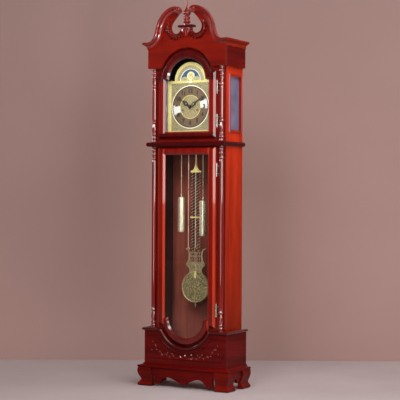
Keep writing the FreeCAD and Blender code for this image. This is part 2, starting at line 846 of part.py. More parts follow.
def make_dial():
    back = dial_y + dial_thick
    arch = [(dial_arch_r, dial_top), ((0.0, dial_top + dial_arch_r), (-dial_arch_r, dial_top))]
    steps = [(dial_half, dial_top)] + arch + [(-dial_half, dial_top)]
    steps += [(-dial_half, dial_bottom), (dial_half, dial_bottom)]
    plate = front_plate((dial_half, dial_bottom), steps, dial_y, back)
    plate = plate.cut(half_disc(0.0, dial_top, moon_r, dial_y - 1.0, back + 1.0))
    places = [(side * arbor_x, arbor_z, winding_hole_r) for side in (-1.0, 1.0)]
    places.append((0.0, dial_z, pipe_r + 1.5))
    holes = Part.makeCompound([rod_y(x, z, r, dial_y - 3.0, back + 1.0) for x, z, r in places])
    stud = rod_y(0.0, moon_disc_z, moon_stud_r, back, back + 2.0 * moon_thick + moon_gap)
    domes = pair(half_disc(hemisphere_x, dial_top, hemisphere_r, dial_y, back))
    save("dial_plate", fuse([plate, stud, domes]).cut(holes))

    ring = rod_y(0.0, dial_z, chapter_outer, dial_y - chapter_thick, dial_y)
    ring = ring.cut(rod_y(0.0, dial_z, chapter_inner, dial_y - 2.0 * chapter_thick, dial_y)).cut(holes)
    save("dial_centre", rod_y(0.0, dial_z, chapter_inner, dial_y - centre_thick, dial_y).cut(holes))
    band = half_disc(0.0, dial_top, moon_r + arch_band, dial_y - band_thick, dial_y)
    band = band.cut(half_disc(0.0, dial_top, moon_r, dial_y - 2.0 * band_thick, dial_y))
    save("dial_rings", Part.makeCompound([ring, band]))
    front = back + moon_gap
    disc = rod_y(0.0, moon_disc_z, moon_disc_r, front, front + moon_thick)
    save("moon_disc", disc.cut(rod_y(0.0, moon_disc_z, moon_stud_r + run_fit, back, front + 2.0 * moon_thick)))


# A flat hand, drawn pointing up and then turned clockwise: entries are (share of length, half width).
def hand(length, widths, boss, hole, y0, degrees):
    y1 = y0 + hand_thick
    right = [(w, dial_z + share * length) for share, w in widths]
    left = [(-w, z) for w, z in reversed(right)]
    tip = (0.0, dial_z + length)
    blade = front_plate(right[0], [right[1:], tip, left[0], left[1:], right[0]], y0, y1)
    whole = fuse([blade, rod_y(0.0, dial_z, boss, y0, y1)]).cut(rod_y(0.0, dial_z, hole, y0 - 1.0, y1 + 1.0))
    whole.rotate(V(0, 0, dial_z), V(0, 1, 0), degrees)
    return whole


def make_hands():
    widths = [(0.08, 4.0), (0.22, 2.0), (0.41, 6.0), (0.6, 2.0), (0.79, 3.5), (0.95, 1.0)]
    save("hour_hand", hand(chapter_inner, widths, hour_boss_r, pipe_r, hour_hand_y, hour_angle))
    widths = [(0.05, 4.0), (0.18, 1.8), (0.34, 6.0), (0.53, 1.8), (0.69, 3.5), (0.97, 0.8)]
    length = chapter_outer - minute_short
    blade = hand(length, widths, minute_boss_r, centre_r, minute_hand_y, minute_angle)
    front = minute_hand_y - 4.0
    steps = [(3.0, front + 1.0), (5.0, minute_hand_y), (0.0, minute_hand_y), (0.0, front)]
    nut = turned_y((0.0, front), steps, 0.0, dial_z)
    nut = nut.cut(rod_y(0.0, dial_z, centre_r, minute_hand_y - 2.0, minute_hand_y))
    save("minute_hand", Part.makeCompound([blade, nut]))


# Movement

def make_frame():
    bearings = ((-arbor_x, arbor_z, arbor_r), (arbor_x, arbor_z, arbor_r), (0.0, dial_z, centre_r),
                (0.0, escape_z, pivot_r), (0.0, pivot_z, pivot_r))
    solids = []
    for y in (plate_front_y, plate_back_y):
        plate = box(-plate_half, plate_half, y, y + plate_thick, seat_z, plate_top)
        for x, z, r in bearings:
            plate = plate.cut(rod_y(x, z, r + run_fit, y - 1.0, y + plate_thick + 1.0))
        solids.append(plate)
    for side in (-1.0, 1.0):
        for z in (seat_z + pillar_inset, plate_top - pillar_inset):
            solids.append(rod_y(side * pillar_x, z, pillar_r, plate_front_y + plate_thick, plate_back_y))
            solids.append(rod_y(side * dial_foot_x, z, dial_foot_r, dial_y + dial_thick, plate_front_y))
    solids.append(rod_y(0.0, dial_z + gear_gap, stud_r, gear_y - 4.0 * gear_thick, plate_front_y))
    solids.append(hammer_bracket())
    save("movement_frame", Part.makeCompound(solids))

    inside = case_half - board
    low = seat_z - board
    front = plate_front_y - seat_lap
    back = rear_y + seat_lap
    seat = box(-inside, inside, front, back, low, seat_z)
    reach = chain_slot / 2.0
    for side in (-1.0, 1.0):
        for x in (side * (arbor_x - sprocket_r), side * (arbor_x + sprocket_r)):
            slot = box(x - reach, x + reach, chain_y - reach, chain_y + reach, low - 1.0, seat_z + 1.0)
            seat = seat.cut(slot)
    cheek = box(inside - board, inside, front, back, low - seat_cheek, low)
    save("seat_board", Part.makeCompound([seat, cheek, mirror(cheek)]))


# Chain wheel with its grooved rim, great wheel and winding square
def make_arbors():
    half_square = winding_square / 2.0
    square_front = dial_y - 4.0
    y0 = chain_y - sprocket_width / 2.0
    y1 = chain_y + sprocket_width / 2.0
    groove = sprocket_r - chain_r - 0.3
    rim = sprocket_r + sprocket_rim
    steps = [(rim, y0), (rim, y0 + 1.2), (groove, y0 + 2.2), (groove, y1 - 2.2), (rim, y1 - 1.2), (rim, y1)]
    steps += [(0.0, y1), (0.0, y0)]
    for name, x in (("left_arbor", -arbor_x), ("right_arbor", arbor_x)):
        axle = rod_y(x, arbor_z, arbor_r, gear_y, rear_y + 1.0)
        square = box(-half_square, half_square, square_front, gear_y, -half_square, half_square)
        square.translate(V(x, 0, arbor_z))
        wheel = turned_y((0.0, y0), steps, x, arbor_z)
        great = toothed(x, arbor_z, great_wheel_r, 60, y1 + gear_thick, y1 + 2.0 * gear_thick, 0.0)
        collar = rod_y(x, arbor_z, 2.0 * arbor_r, y1, y1 + gear_thick)
        save(name, fuse([axle, square, wheel, great, collar]))


# Motion work: a pinion of 16 drives a wheel of 48, whose pinion of 12 drives the hour wheel of 48.
def make_motion_work():
    middle = gear_y - gear_thick
    front = middle - 2.0 * gear_thick
    arbor = rod_y(0.0, dial_z, centre_r, minute_hand_y - 2.0, rear_y + 1.0)
    pinion = toothed(0.0, dial_z, gear_gap * 0.25, 16, middle, gear_y, 0.0)
    save("centre_arbor", fuse([arbor, pinion]))
    z = dial_z + gear_gap
    wheel = toothed(0.0, z, gear_gap * 0.75, 48, middle, gear_y, math.pi / 48.0)
    small = toothed(0.0, z, gear_gap * 0.2, 12, front, middle, math.pi / 12.0)
    bore = rod_y(0.0, z, stud_r + run_fit, front - 1.0, plate_front_y)
    save("minute_wheel", fuse([wheel, small]).cut(bore))
    back = middle - 0.75 * gear_thick
    wheel = toothed(0.0, dial_z, gear_gap * 0.8, 48, front + 0.25 * gear_thick, back, 0.0)
    pipe = rod_y(0.0, dial_z, pipe_r, hour_hand_y, back)
    bore = rod_y(0.0, dial_z, centre_r + run_fit, hour_hand_y - 1.0, back + 1.0)
    save("hour_wheel", fuse([wheel, pipe]).cut(bore))


# Escape wheel, anchor pallets with their crutch, and the cock that the pendulum hangs from
def make_escapement():
    y0 = escape_y
    y1 = escape_y + gear_thick
    wheel = toothed(0.0, escape_z, escape_r - 1.0, 30, y0, y1, 0.0)
    pivot = rod_y(0.0, escape_z, pivot_r, plate_front_y + 1.0, rear_y - 1.0)
    save("escape_wheel", fuse([wheel, pivot]))

    tip = escape_r + 5.0
    inner = escape_r + 2.0
    top = pivot_z + 4.0
    steps = [(4.0, top), [(escape_r, pivot_z - 4.0), (tip, escape_z + 4.0)], (inner, escape_z + 2.0)]
    steps += [[(escape_r - 3.0, pivot_z - 7.0), (0.0, pivot_z - 5.0), (3.0 - escape_r, pivot_z - 7.0),
               (-inner, escape_z + 2.0)]]
    steps += [(-tip, escape_z + 4.0), [(-escape_r, pivot_z - 4.0), (-4.0, top)]]
    anchor = front_plate((-4.0, top), steps, y0, y1)
    shaft = rod_y(0.0, pivot_z, pivot_r, plate_front_y + 1.0, rear_y + 4.0)
    front = rear_y + 1.0
    back = front + gear_thick
    low = crutch_z - fork_height
    crutch = box(-pivot_r, pivot_r, front, back, crutch_z, pivot_z)
    bar = box(-fork_half, fork_half, front, back, low, crutch_z)
    prong = box(rod_r + fork_gap, fork_half, back, pendulum_y + rod_r + 1.0, low, crutch_z)
    save("pallets", fuse([anchor, shaft, crutch, bar, prong, mirror(prong)]))

    low = pivot_z + 12.0
    far = pendulum_y + 6.0
    arm = box(-14.0, 14.0, rear_y, far, low, low + 16.0)
    block = box(-8.0, 8.0, pendulum_y - 4.0, far, pivot_z, low)
    save("back_cock", fuse([arm, block]))


# Striking work: a hammer with two heads, and two gong rods that hang from a block on the back panel
def hammer_bracket():
    low = hammer_x - hammer_pitch
    high = hammer_x + 2.0 * hammer_pitch
    half = lug_thick + hammer_pin_r
    pieces = [rod_x(hammer_y, hammer_z, hammer_pin_r, low, high)]
    for x in (low, high - lug_thick):
        pieces.append(box(x, x + lug_thick, rear_y, hammer_y + half, hammer_z - half, hammer_z + half))
    return fuse(pieces)


def make_striking():
    start = hammer_x - hammer_pitch + lug_thick + 1.0
    end = hammer_x + 2.0 * hammer_pitch - lug_thick - 1.0
    pieces = [rod_x(hammer_y, hammer_z, bush_r, start, end)]
    head_z = hammer_z + hammer_arm
    head_y = hammer_y - bush_r
    rods = []
    for i, length in enumerate(gong_lengths):
        x = hammer_x + i * hammer_pitch
        pieces.append(rod_z(x, hammer_y, hammer_pin_r, hammer_z, head_z))
        pieces.append(rod_y(x, head_z, hammer_head_r, head_y, head_y + hammer_head_length))
        rods.append(rod_z(x, gong_y, gong_rod_r, gong_z - length, gong_z))
    bore = rod_x(hammer_y, hammer_z, hammer_pin_r + run_fit, start - 1.0, end + 1.0)
    save("strike_hammer", fuse(pieces).cut(bore))

    half = gong_block / 2.0
    high = gong_z + gong_block
    block = box(hammer_x - half, hammer_x + hammer_pitch + half, gong_y - half, inside_y, gong_z, high)
    save("gong", Part.makeCompound(rods + [block]))


# Weights and chains

# Half a chain: a strand up from z to the chain wheel, then a quarter turn to its top
def chain_half(x, centre, z):
    strand = rod_z(x, chain_y, chain_r, z, arbor_z)
    end = Part.Face(Part.Wire(Part.makeCircle(chain_r, V(x, chain_y, arbor_z), V(0, 0, 1))))
    turn = 90.0 if x < centre else -90.0
    return fuse([strand, end.revolve(V(centre, chain_y, arbor_z), V(0, 1, 0), turn)])


def ring(x, z, r):
    return Part.makeTorus(r, chain_r, V(x, chain_y, z), V(0, 1, 0))


def make_weights():
    for side, name, drop in ((-1.0, "left", left_drop), (1.0, "right", right_drop)):
        x = side * (arbor_x + sprocket_r)
        low = arbor_z - drop
        high = low + weight_length
        end_r = weight_r - weight_cap / 2.0
        steps = [(end_r, low), (weight_r, low + weight_cap), (weight_r, high - weight_cap), (end_r, high)]
        steps += [(4.0, high + 1.5), (2.5, high + 4.0), (2.5, high + 10.0), (0.0, high + 10.0), (0.0, low)]
        body = turned((0.0, low), steps, x, chain_y)
        hook_z = high + eye_rise
        save(name + "_weight", fuse([body, ring(x, hook_z, eye_r)]))
        save(name + "_chain", chain_half(x, side * arbor_x, hook_z + eye_r + chain_r + chain_gap))
        inner = side * (arbor_x - sprocket_r)
        end_z = arbor_z - tail_drop
        save(name + "_tail_chain", chain_half(inner, side * arbor_x, end_z))
        save(name + "_tail_ring", ring(inner, end_z - chain_gap - chain_r - tail_ring_r, tail_ring_r))


# Pendulum

def make_pendulum():
    spring_low = pivot_z - spring_length
    leaf = spring_thick / 2.0
    hang_z = pivot_z - spring_thick
    spring = box(-spring_half, spring_half, pendulum_y - leaf, pendulum_y + leaf, spring_low, hang_z)
    spire = cap_z + cap_height
    edge = cap_z + 8.0
    flare = [(16.0, cap_z + 14.0), (7.0, cap_z + 28.0), (rod_r, spire)]
    back = [(-rod_r, spire)] + [(-x, z) for x, z in reversed(flare[:-1])] + [(-cap_half, edge)]
    steps = [(cap_half, edge), flare, back[0], back[1:], (-cap_half, cap_z), (cap_half, cap_z)]
    half = cap_thick / 2.0
    cap = front_plate((cap_half, cap_z), steps, pendulum_y - half, pendulum_y + half)
    hanger = fuse([cap, rod_z(0.0, pendulum_y, rod_r, spire, spring_low)])
    save("pendulum_hanger", Part.makeCompound([spring, hanger]))

    rods = [rod_z(k * rod_spread, pendulum_y, rod_r, lyre_top, cap_z) for k in (-3.0, -1.0, 1.0, 3.0)]
    low = crossbar_z - crossbar_height / 2.0
    bar = box(-crossbar_half, crossbar_half, pendulum_y - half, pendulum_y + half, low, low + crossbar_height)
    save("pendulum_rods", Part.makeCompound(rods + [bar.cut(Part.makeCompound(rods))]))


# Pierced lyre that carries the bob, with out-curled horns
def make_lyre():
    y0 = pendulum_y - lyre_thick / 2.0
    y1 = pendulum_y + lyre_thick / 2.0
    top = lyre_top
    foot = rim_z - 8.0
    right = [(36.0, rim_z + 6.0), (42.0, rim_z + 22.0), (57.0, rim_z + 38.0), (47.0, rim_z + 56.0),
             (42.0, rim_z + 75.0), (41.0, top - 11.0), (45.0, top)]
    horn = [(50.0, top + 9.0), (59.0, top + 14.0), (60.0, top + 18.0)]
    steps = [right, horn, [(46.0, top + 14.0), (38.0, top)], (0.0, top), (0.0, foot), (44.0, foot)]
    half = front_plate((44.0, foot), steps, y0, y1)
    for z0, z1 in ((rim_z + 86.0, top - 6.0), (rim_z + 52.0, rim_z + 78.0)):
        half = half.cut(box(2.5, 33.0, y0 - 1.0, y1 + 1.0, z0, z1))
    disc = rod_y(0.0, bob_z, bob_r, pendulum_y - bob_thick, pendulum_y + bob_thick)
    save("pendulum_lyre", fuse([half, mirror(half)]).cut(disc))


def make_bob():
    front = pendulum_y - bob_thick / 2.0
    rear = pendulum_y + bob_thick / 2.0
    dome = [(bob_r * 0.5, front + 0.6), (bob_r * 0.7, front + 1.6), (bob_r - 6.0, front + 3.5)]
    steps = [(bob_r * 0.3, front), dome, (bob_r - 4.0, front + 1.5), (bob_r, front + 3.0), (bob_r, rear - 3.0)]
    steps += [(bob_r * 0.6, rear), (0.0, rear), (0.0, front)]
    save("pendulum_bob", turned_y((0.0, front), steps, 0.0, bob_z))
    low = bob_z - bob_r
    stem = 2.5
    steps = [(stem, low), (stem, low - 6.0), (nut_r, low - 6.0), (nut_r, low - 13.0), (stem, low - 13.0)]
    steps += [(1.2, low - 26.0), (0.0, low - 27.0), (0.0, low)]
    save("rating_nut", turned((0.0, low), steps, 0.0, pendulum_y))


make_feet()
make_base()
make_case()
make_windows()
make_columns()
make_frieze()
make_cornice()
make_finial()
make_doors()
make_dial()
make_hands()
make_frame()
make_arbors()
make_motion_work()
make_escapement()
make_striking()
make_weights()
make_pendulum()
make_lyre()
make_bob()
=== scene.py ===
import math
import bmesh
import bpy
from mathutils import Matrix, Vector


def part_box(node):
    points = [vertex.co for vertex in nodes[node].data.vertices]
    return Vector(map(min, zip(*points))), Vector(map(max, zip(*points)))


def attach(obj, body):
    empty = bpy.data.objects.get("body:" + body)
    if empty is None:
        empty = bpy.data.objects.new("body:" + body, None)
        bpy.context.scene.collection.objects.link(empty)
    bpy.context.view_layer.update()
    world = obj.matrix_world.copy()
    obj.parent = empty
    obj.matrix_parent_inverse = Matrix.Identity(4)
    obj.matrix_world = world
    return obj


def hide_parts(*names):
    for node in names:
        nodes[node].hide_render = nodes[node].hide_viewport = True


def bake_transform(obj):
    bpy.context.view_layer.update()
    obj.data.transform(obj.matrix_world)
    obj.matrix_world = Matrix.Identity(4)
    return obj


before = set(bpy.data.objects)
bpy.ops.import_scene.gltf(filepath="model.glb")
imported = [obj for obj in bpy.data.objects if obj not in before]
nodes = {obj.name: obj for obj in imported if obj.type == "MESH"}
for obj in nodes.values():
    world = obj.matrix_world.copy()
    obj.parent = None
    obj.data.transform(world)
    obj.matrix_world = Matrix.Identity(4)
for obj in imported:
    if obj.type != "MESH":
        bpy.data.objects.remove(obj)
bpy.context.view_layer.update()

mm = 0.001

# Camera fitted to the photograph, and the stage, in metres and degrees
camera_place = (3.4615, -5.8534, 0.985)
camera_yaw = 30.354
camera_roll = 0.285
camera_lens = 115.745
floor_half = 12.0
backdrop_distance = 7.9
backdrop_half = 9.0
backdrop_height = 6.0

# Places on the clock, in millimetres
dial_z = 1474.0
dial_front = -46.0
numeral_r = 84.0
arch_z = 1613.0
map_x = 36.0
moon_z = 1602.0
moon_front = -43.5
moon_face_reach = 35.0
arbor_x = 44.0
arbor_z = 1456.0
chain_wheel_r = 22.0
chain_y = -24.0
tail_low = 735.0
pendulum_y = 16.0
rope_pitch = 16.0
rope_low = 711.0
rope_high = 1131.0
first_lay = 718.0
crossbar_z = 893.0
bob_z = 523.0
bob_front = 9.0
lyre_front = 14.0
board_front = -94.0
pendant_top = 1886.0
hood_arch_r = 152.0
hood_arch_z = 1599.0
hood_arch_front = -92.5
hinge_heights = (1395.0, 1570.0, 414.0, 1141.0)
screw_x = 186.0
screw_front = -73.2
inside_x = 202.5

# Turns on the dial, in degrees; the hands count clockwise from the top
hour_angle = 305.0
minute_angle = 58.0
# Tilt of the painted highlight wedges on the chapter ring, in degrees
painted_highlight_tilt = 9.0


def make_camera():
    data = bpy.data.cameras.new("camera")
    data.lens = camera_lens
    data.sensor_width = 36.0
    camera = bpy.data.objects.new("camera", data)
    turn = Matrix.Rotation(math.radians(camera_yaw), 4, "Z")
    level = Matrix.Rotation(math.radians(90.0), 4, "X")
    roll = Matrix.Rotation(math.radians(camera_roll), 4, "Z")
    camera.matrix_world = Matrix.Translation(camera_place) @ turn @ level @ roll
    bpy.context.collection.objects.link(camera)
    bpy.context.scene.camera = camera


# Light

def area_light(name, place, target, width, height, power, colour, spread=180.0, mirrored=True):
    data = bpy.data.lights.new(name, "AREA")
    data.shape = "RECTANGLE"
    data.size = width
    data.size_y = height
    data.energy = power
    data.color = colour
    data.spread = math.radians(spread)
    lamp = bpy.data.objects.new(name, data)
    lamp.location = place
    aim = Vector(target) - Vector(place)
    lamp.rotation_euler = aim.to_track_quat("-Z", "Y").to_euler()
    lamp.visible_camera = False
    lamp.visible_glossy = mirrored
    bpy.context.collection.objects.link(lamp)


def make_lights():
    area_light("key_right", (3.4, -2.0, 2.03), (0.0, 0.0, 1.5), 1.6, 2.15, 66.0, (1.0, 0.98, 0.95))
    area_light("front_strip", (1.3, -4.6, 1.25), (0.0, 0.0, 1.2), 0.7, 2.0, 24.0, (1.0, 0.97, 0.97))
    area_light("front_top", (0.5, -3.4, 3.6), (0.0, 0.0, 1.2), 2.0, 1.2, 90.0, (1.0, 0.99, 0.98))
    area_light("right_top", (2.4, -0.7, 3.9), (0.0, 0.0, 1.6), 1.7, 1.7, 58.0, (1.0, 0.99, 0.97))
    area_light("left_rim", (-3.3, -1.15, 2.55), (0.0, 0.0, 1.95), 1.8, 0.8, 13.0, (1.0, 1.0, 1.0), 50.0)
    area_light("neck_glint", (3.07, -2.5, 0.52), (-0.16, -0.11, 1.88), 0.8, 0.6, 0.9, (1.0, 1.0, 1.0), 24.0)
    area_light("curve_glint", (2.42, -2.6, 2.5), (-0.1, -0.09, 0.31), 1.2, 1.5, 0.8, (1.0, 1.0, 1.0), 20.0)
    area_light("overhead", (1.6, 0.6, 4.4), (0.0, 0.0, 0.8), 1.6, 1.6, 44.0, (1.0, 1.0, 1.0))
    area_light("back_fill", (-0.42, 0.78, 1.35), (0.0, 0.1, 1.35), 0.4, 1.2, 4.0, (1.0, 0.98, 0.96), 80.0, False)
    world = bpy.data.worlds.new("studio")
    bpy.context.scene.world = world
    world.use_nodes = True
    background = world.node_tree.nodes["Background"]
    background.inputs["Color"].default_value = (0.9, 0.88, 0.9, 1.0)
    background.inputs["Strength"].default_value = 0.05
    bpy.context.scene.view_settings.view_transform = "Standard"


# Materials

def new_material(name):
    material = bpy.data.materials.new(name)
    material.use_nodes = True
    tree = material.node_tree
    return material, tree, tree.nodes["Principled BSDF"]


def add(tree, kind, **values):
    """Adds a node; each value goes to its property or input of that name."""
    node = tree.nodes.new(kind)
    for key, value in values.items():
        if hasattr(node, key):
            setattr(node, key, value)
        else:
            node.inputs[key].default_value = value
    return node


def ramp(tree, source, tones, places=(0.3, 0.7)):
    """Goes through the tones at the places of a value."""
    node = tree.nodes.new("ShaderNodeValToRGB")
    elements = node.color_ramp.elements
    while len(elements) < len(tones):
        elements.new(0.5)
    for element, place, tone in zip(elements, places, tones):
        element.position = place
        element.color = (*tone, 1.0)
    tree.links.new(source, node.inputs["Fac"])
    return node.outputs["Color"]


def shade(tree, bsdf, socket, source, tones, places=(0.3, 0.7)):
    """Links a ramp of tones to an input of the shader."""
    tree.links.new(ramp(tree, source, tones, places), bsdf.inputs[socket])


def settle(bsdf, values):
    """Sets inputs of the shader to constants."""
    for socket, value in values.items():
        bsdf.inputs[socket].default_value = value


def grey(value):
    return (value, value, value)


def stretched(tree, scale=(1.0, 1.0, 1.0)):
    """The place on the clock, in metres, stretched along its axes."""
    coords = tree.nodes.new("ShaderNodeTexCoord")
    mapping = add(tree, "ShaderNodeMapping", Scale=scale)
    tree.links.new(coords.outputs["Object"], mapping.inputs["Vector"])
    return mapping.outputs["Vector"]


def noise(tree, vector, scale, detail, rough):
    node = add(tree, "ShaderNodeTexNoise", Scale=scale, Detail=detail, Roughness=rough)
    tree.links.new(vector, node.inputs["Vector"])
    return node.outputs["Fac"]


def bump(tree, bsdf, height, strength, distance):
    node = add(tree, "ShaderNodeBump", Strength=strength, Distance=distance)
    tree.links.new(height, node.inputs["Height"])
    tree.links.new(node.outputs["Normal"], bsdf.inputs["Normal"])


def maths(tree, operation, first, second=None, kind="Math", output="Value"):
    """One sum on an output; the second value is a constant or another output."""
    node = add(tree, "ShaderNode" + kind, operation=operation)
    tree.links.new(first, node.inputs[0])
    if isinstance(second, (float, tuple)):
        node.inputs[1].default_value = second
    elif second is not None:
        tree.links.new(second, node.inputs[1])
    return node.outputs[output]


def place_on(tree, axis):
    """The place along an axis, in metres."""
    coords = tree.nodes.new("ShaderNodeTexCoord")
    split = tree.nodes.new("ShaderNodeSeparateXYZ")
    tree.links.new(coords.outputs["Object"], split.inputs["Vector"])
    return split.outputs[axis]


def zone(tree, axis, low, high, middle=0.0, mirrored=False):
    """White where the distance from the middle along an axis is between low and high, in metres."""
    place = place_on(tree, axis)
    if mirrored:
        place = maths(tree, "ABSOLUTE", place)
    reach = maths(tree, "ABSOLUTE", maths(tree, "SUBTRACT", place, middle))
    above = maths(tree, "GREATER_THAN", reach, low)
    below = maths(tree, "LESS_THAN", reach, high)
    return maths(tree, "MULTIPLY", above, below)


def blended(tree, share, first, second):
    """Goes from one colour output to another by a share."""
    node = add(tree, "ShaderNodeMixRGB")
    tree.links.new(share, node.inputs["Fac"])
    tree.links.new(first, node.inputs["Color1"])
    tree.links.new(second, node.inputs["Color2"])
    return node.outputs["Color"]


def clouded(tree, colour):
    """Broad uneven stain."""
    cloud = noise(tree, stretched(tree, (1.0, 1.0, 0.6)), 7.0, 3.0, 0.55)
    node = add(tree, "ShaderNodeMixRGB", blend_type="MULTIPLY", Fac=1.0)
    tree.links.new(colour, node.inputs["Color1"])
    tree.links.new(ramp(tree, cloud, (grey(0.84), grey(1.06)), (0.35, 0.65)), node.inputs["Color2"])
    return node.outputs["Color"]


def faded(tree, colour, start, end, share):
    """Painted shade by height: the tone goes from a share of the colour at the start height to the whole at the end
    height.
    """
    level = add(tree, "ShaderNodeMapRange", **{"From Min": start, "From Max": end, "To Min": share})
    tree.links.new(place_on(tree, "Z"), level.inputs["Value"])
    node = add(tree, "ShaderNodeVectorMath", operation="SCALE")
    tree.links.new(colour, node.inputs[0])
    tree.links.new(level.outputs["Result"], node.inputs["Scale"])
    return node.outputs["Vector"]


def cleared(tree, bsdf, share):
    """Lets light straight through where the share is one."""
    clear = tree.nodes.new("ShaderNodeBsdfTransparent")
    mix = tree.nodes.new("ShaderNodeMixShader")
    tree.links.new(share, mix.inputs["Fac"])
    tree.links.new(bsdf.outputs["BSDF"], mix.inputs[1])
    tree.links.new(clear.outputs["BSDF"], mix.inputs[2])
    tree.links.new(mix.outputs["Shader"], tree.nodes["Material Output"].inputs["Surface"])


grain_scale = {"X": (2.0, 30.0, 30.0), "Y": (30.0, 2.0, 30.0), "Z": (30.0, 30.0, 2.0)}


def make_wood(name, axis, dark, light, coat, patch=None, height_shade=None, shine=1.5):
    """Polished wood with its grain along an axis.

    A patch is two tones and the values of zone: other tones between two places on an axis.
    A height shade is the values of faded: painted shade from two heights and the share of the tone at the first one.
    """
    material, tree, bsdf = new_material(name)
    along = stretched(tree, grain_scale[axis])
    figure = noise(tree, along, 1.0, 6.0, 0.6)
    colour = clouded(tree, ramp(tree, figure, (dark, light)))
    if height_shade:
        colour = faded(tree, colour, *height_shade)
    if patch:
        stain = ramp(tree, figure, patch[:2])
        colour = blended(tree, zone(tree, *patch[2:]), colour, stain)
    tree.links.new(colour, bsdf.inputs["Base Color"])
    bump(tree, bsdf, noise(tree, along, 14.0, 3.0, 0.7), 0.02, 0.001)
    shade(tree, bsdf, "Roughness", figure, (grey(0.34), grey(0.26)))
    settle(bsdf, {"Specular IOR Level": 0.04 + 0.1 * coat, "Coat Weight": coat, "Coat Roughness": 0.05,
                  "Coat IOR": shine})
    return material


def make_metal(name, dark, light, rough, scale, depth, metallic=1.0):
    """Metal or enamel in an uneven tone; scale is how fine that is, depth how deep its bumps are."""
    material, tree, bsdf = new_material(name)
    coords = stretched(tree)
    tarnish = noise(tree, coords, scale, 5.0, 0.6)
    shade(tree, bsdf, "Base Color", tarnish, (dark, light), (0.35, 0.65))
    shade(tree, bsdf, "Roughness", tarnish, (grey(rough * 1.25), grey(rough * 0.8)))
    settle(bsdf, {"Metallic": metallic})
    bump(tree, bsdf, noise(tree, coords, scale * 12.0, 3.0, 0.6), depth, 0.0005)
    return material


# Where the hinge knuckles and their painted highlight are along X, in metres
knuckle_span = (0.1752, 0.1798)


def make_hinge_metal(name):
    """Painted highlight on the knuckles, and dark on the leaves."""
    material, tree, bsdf = new_material(name)
    tarnish = noise(tree, stretched(tree), 60.0, 5.0, 0.6)
    leaf_tone = ramp(tree, tarnish, ((0.08, 0.012, 0.008), (0.16, 0.03, 0.018)))
    knuckle_highlight = ramp(tree, tarnish, ((0.84, 0.8, 0.72), (0.95, 0.92, 0.86)))
    colour = blended(tree, zone(tree, "X", *knuckle_span), leaf_tone, knuckle_highlight)
    tree.links.new(colour, bsdf.inputs["Base Color"])
    shade(tree, bsdf, "Roughness", tarnish, (grey(0.32), grey(0.22)))
    settle(bsdf, {"Metallic": 0.5})
    bump(tree, bsdf, tarnish, 0.03, 0.0004)
    return material


def make_stipple(name, dark, light, cell, metallic, rough):
    """Cast metal with a grain of small cells, light in their middles."""
    material, tree, bsdf = new_material(name)
    coords = stretched(tree)
    cells = add(tree, "ShaderNodeTexVoronoi", Scale=1.0 / cell)
    tree.links.new(coords, cells.inputs["Vector"])
    distance = cells.outputs["Distance"]
    shade(tree, bsdf, "Base Color", distance, (light, dark), (0.15, 0.6))
    grain = noise(tree, coords, 0.4 / cell, 4.0, 0.7)
    shade(tree, bsdf, "Roughness", grain, (grey(rough * 1.3), grey(rough * 0.8)))
    settle(bsdf, {"Metallic": metallic})
    bump(tree, bsdf, distance, 0.6, 0.0006)
    return material


def make_brushed_ring(name, dark, light, highlight_tone):
    """Turned metal with fine rings in a brown that is painted reflection of dark surroundings, and a painted
    highlight in a wedge at either side where brushing would catch the light.
    """
    material, tree, bsdf = new_material(name)
    coords = tree.nodes.new("ShaderNodeTexCoord").outputs["Object"]
    tilt = math.radians(painted_highlight_tilt)
    painted_highlight_way = (math.cos(tilt), 0.0, math.sin(tilt))
    centred = maths(tree, "SUBTRACT", coords, (0.0, 0.0, dial_z * mm), "VectorMath", "Vector")
    flat = maths(tree, "MULTIPLY", centred, (1.0, 0.0, 1.0), "VectorMath", "Vector")
    reach = maths(tree, "LENGTH", flat, None, "VectorMath")
    way = maths(tree, "NORMALIZE", flat, None, "VectorMath", "Vector")
    match = maths(tree, "ABSOLUTE", maths(tree, "DOT_PRODUCT", way, painted_highlight_way, "VectorMath"))
    node = add(tree, "ShaderNodeTexNoise", noise_dimensions="1D", Scale=900.0, Detail=4.0, Roughness=0.7)
    tree.links.new(reach, node.inputs["W"])
    rings = node.outputs["Fac"]
    # The brown rings are painted reflection; the white wedges are painted highlight
    reflection_rings = ramp(tree, rings, (dark, light))
    painted_highlight = ramp(tree, rings, (tuple(v * 0.9 for v in highlight_tone), highlight_tone))
    painted_highlight_mask = ramp(tree, match, (grey(0.0), grey(1.0)), (0.958, 0.98))
    tree.links.new(blended(tree, painted_highlight_mask, reflection_rings, painted_highlight), bsdf.inputs["Base Color"])
    shade(tree, bsdf, "Roughness", rings, (grey(0.5), grey(0.4)))
    settle(bsdf, {"Metallic": 0.3})
    return material


def make_pearl(name, tones):
    material, tree, bsdf = new_material(name)
    lustre = noise(tree, stretched(tree), 160.0, 3.0, 0.6)
    shade(tree, bsdf, "Base Color", lustre, tones, (0.3, 0.5, 0.7))
    shade(tree, bsdf, "Roughness", lustre, (grey(0.3), grey(0.2)))
    settle(bsdf, {"Coat Weight": 0.4})
    bump(tree, bsdf, lustre, 0.05, 0.0004)
    return material


def make_glass(name, dark, light):
    """Clear glass that throws no shadow."""
    material, tree, bsdf = new_material(name)
    shade(tree, bsdf, "Base Color", noise(tree, stretched(tree), 6.0, 2.0, 0.5), (dark, light))
    settle(bsdf, {"Transmission Weight": 1.0, "IOR": 1.3, "Roughness": 0.0})
    cleared(tree, bsdf, tree.nodes.new("ShaderNodeLightPath").outputs["Is Shadow Ray"])
    return material


def make_pane(name, dark, light):
    """Side pane in a blue-grey that is painted reflection, and that hides most of what is behind it."""
    material, tree, bsdf = new_material(name)
    shade(tree, bsdf, "Base Color", noise(tree, stretched(tree), 9.0, 2.0, 0.5), (dark, light))
    settle(bsdf, {"Roughness": 0.12, "Alpha": 0.85})
    return material
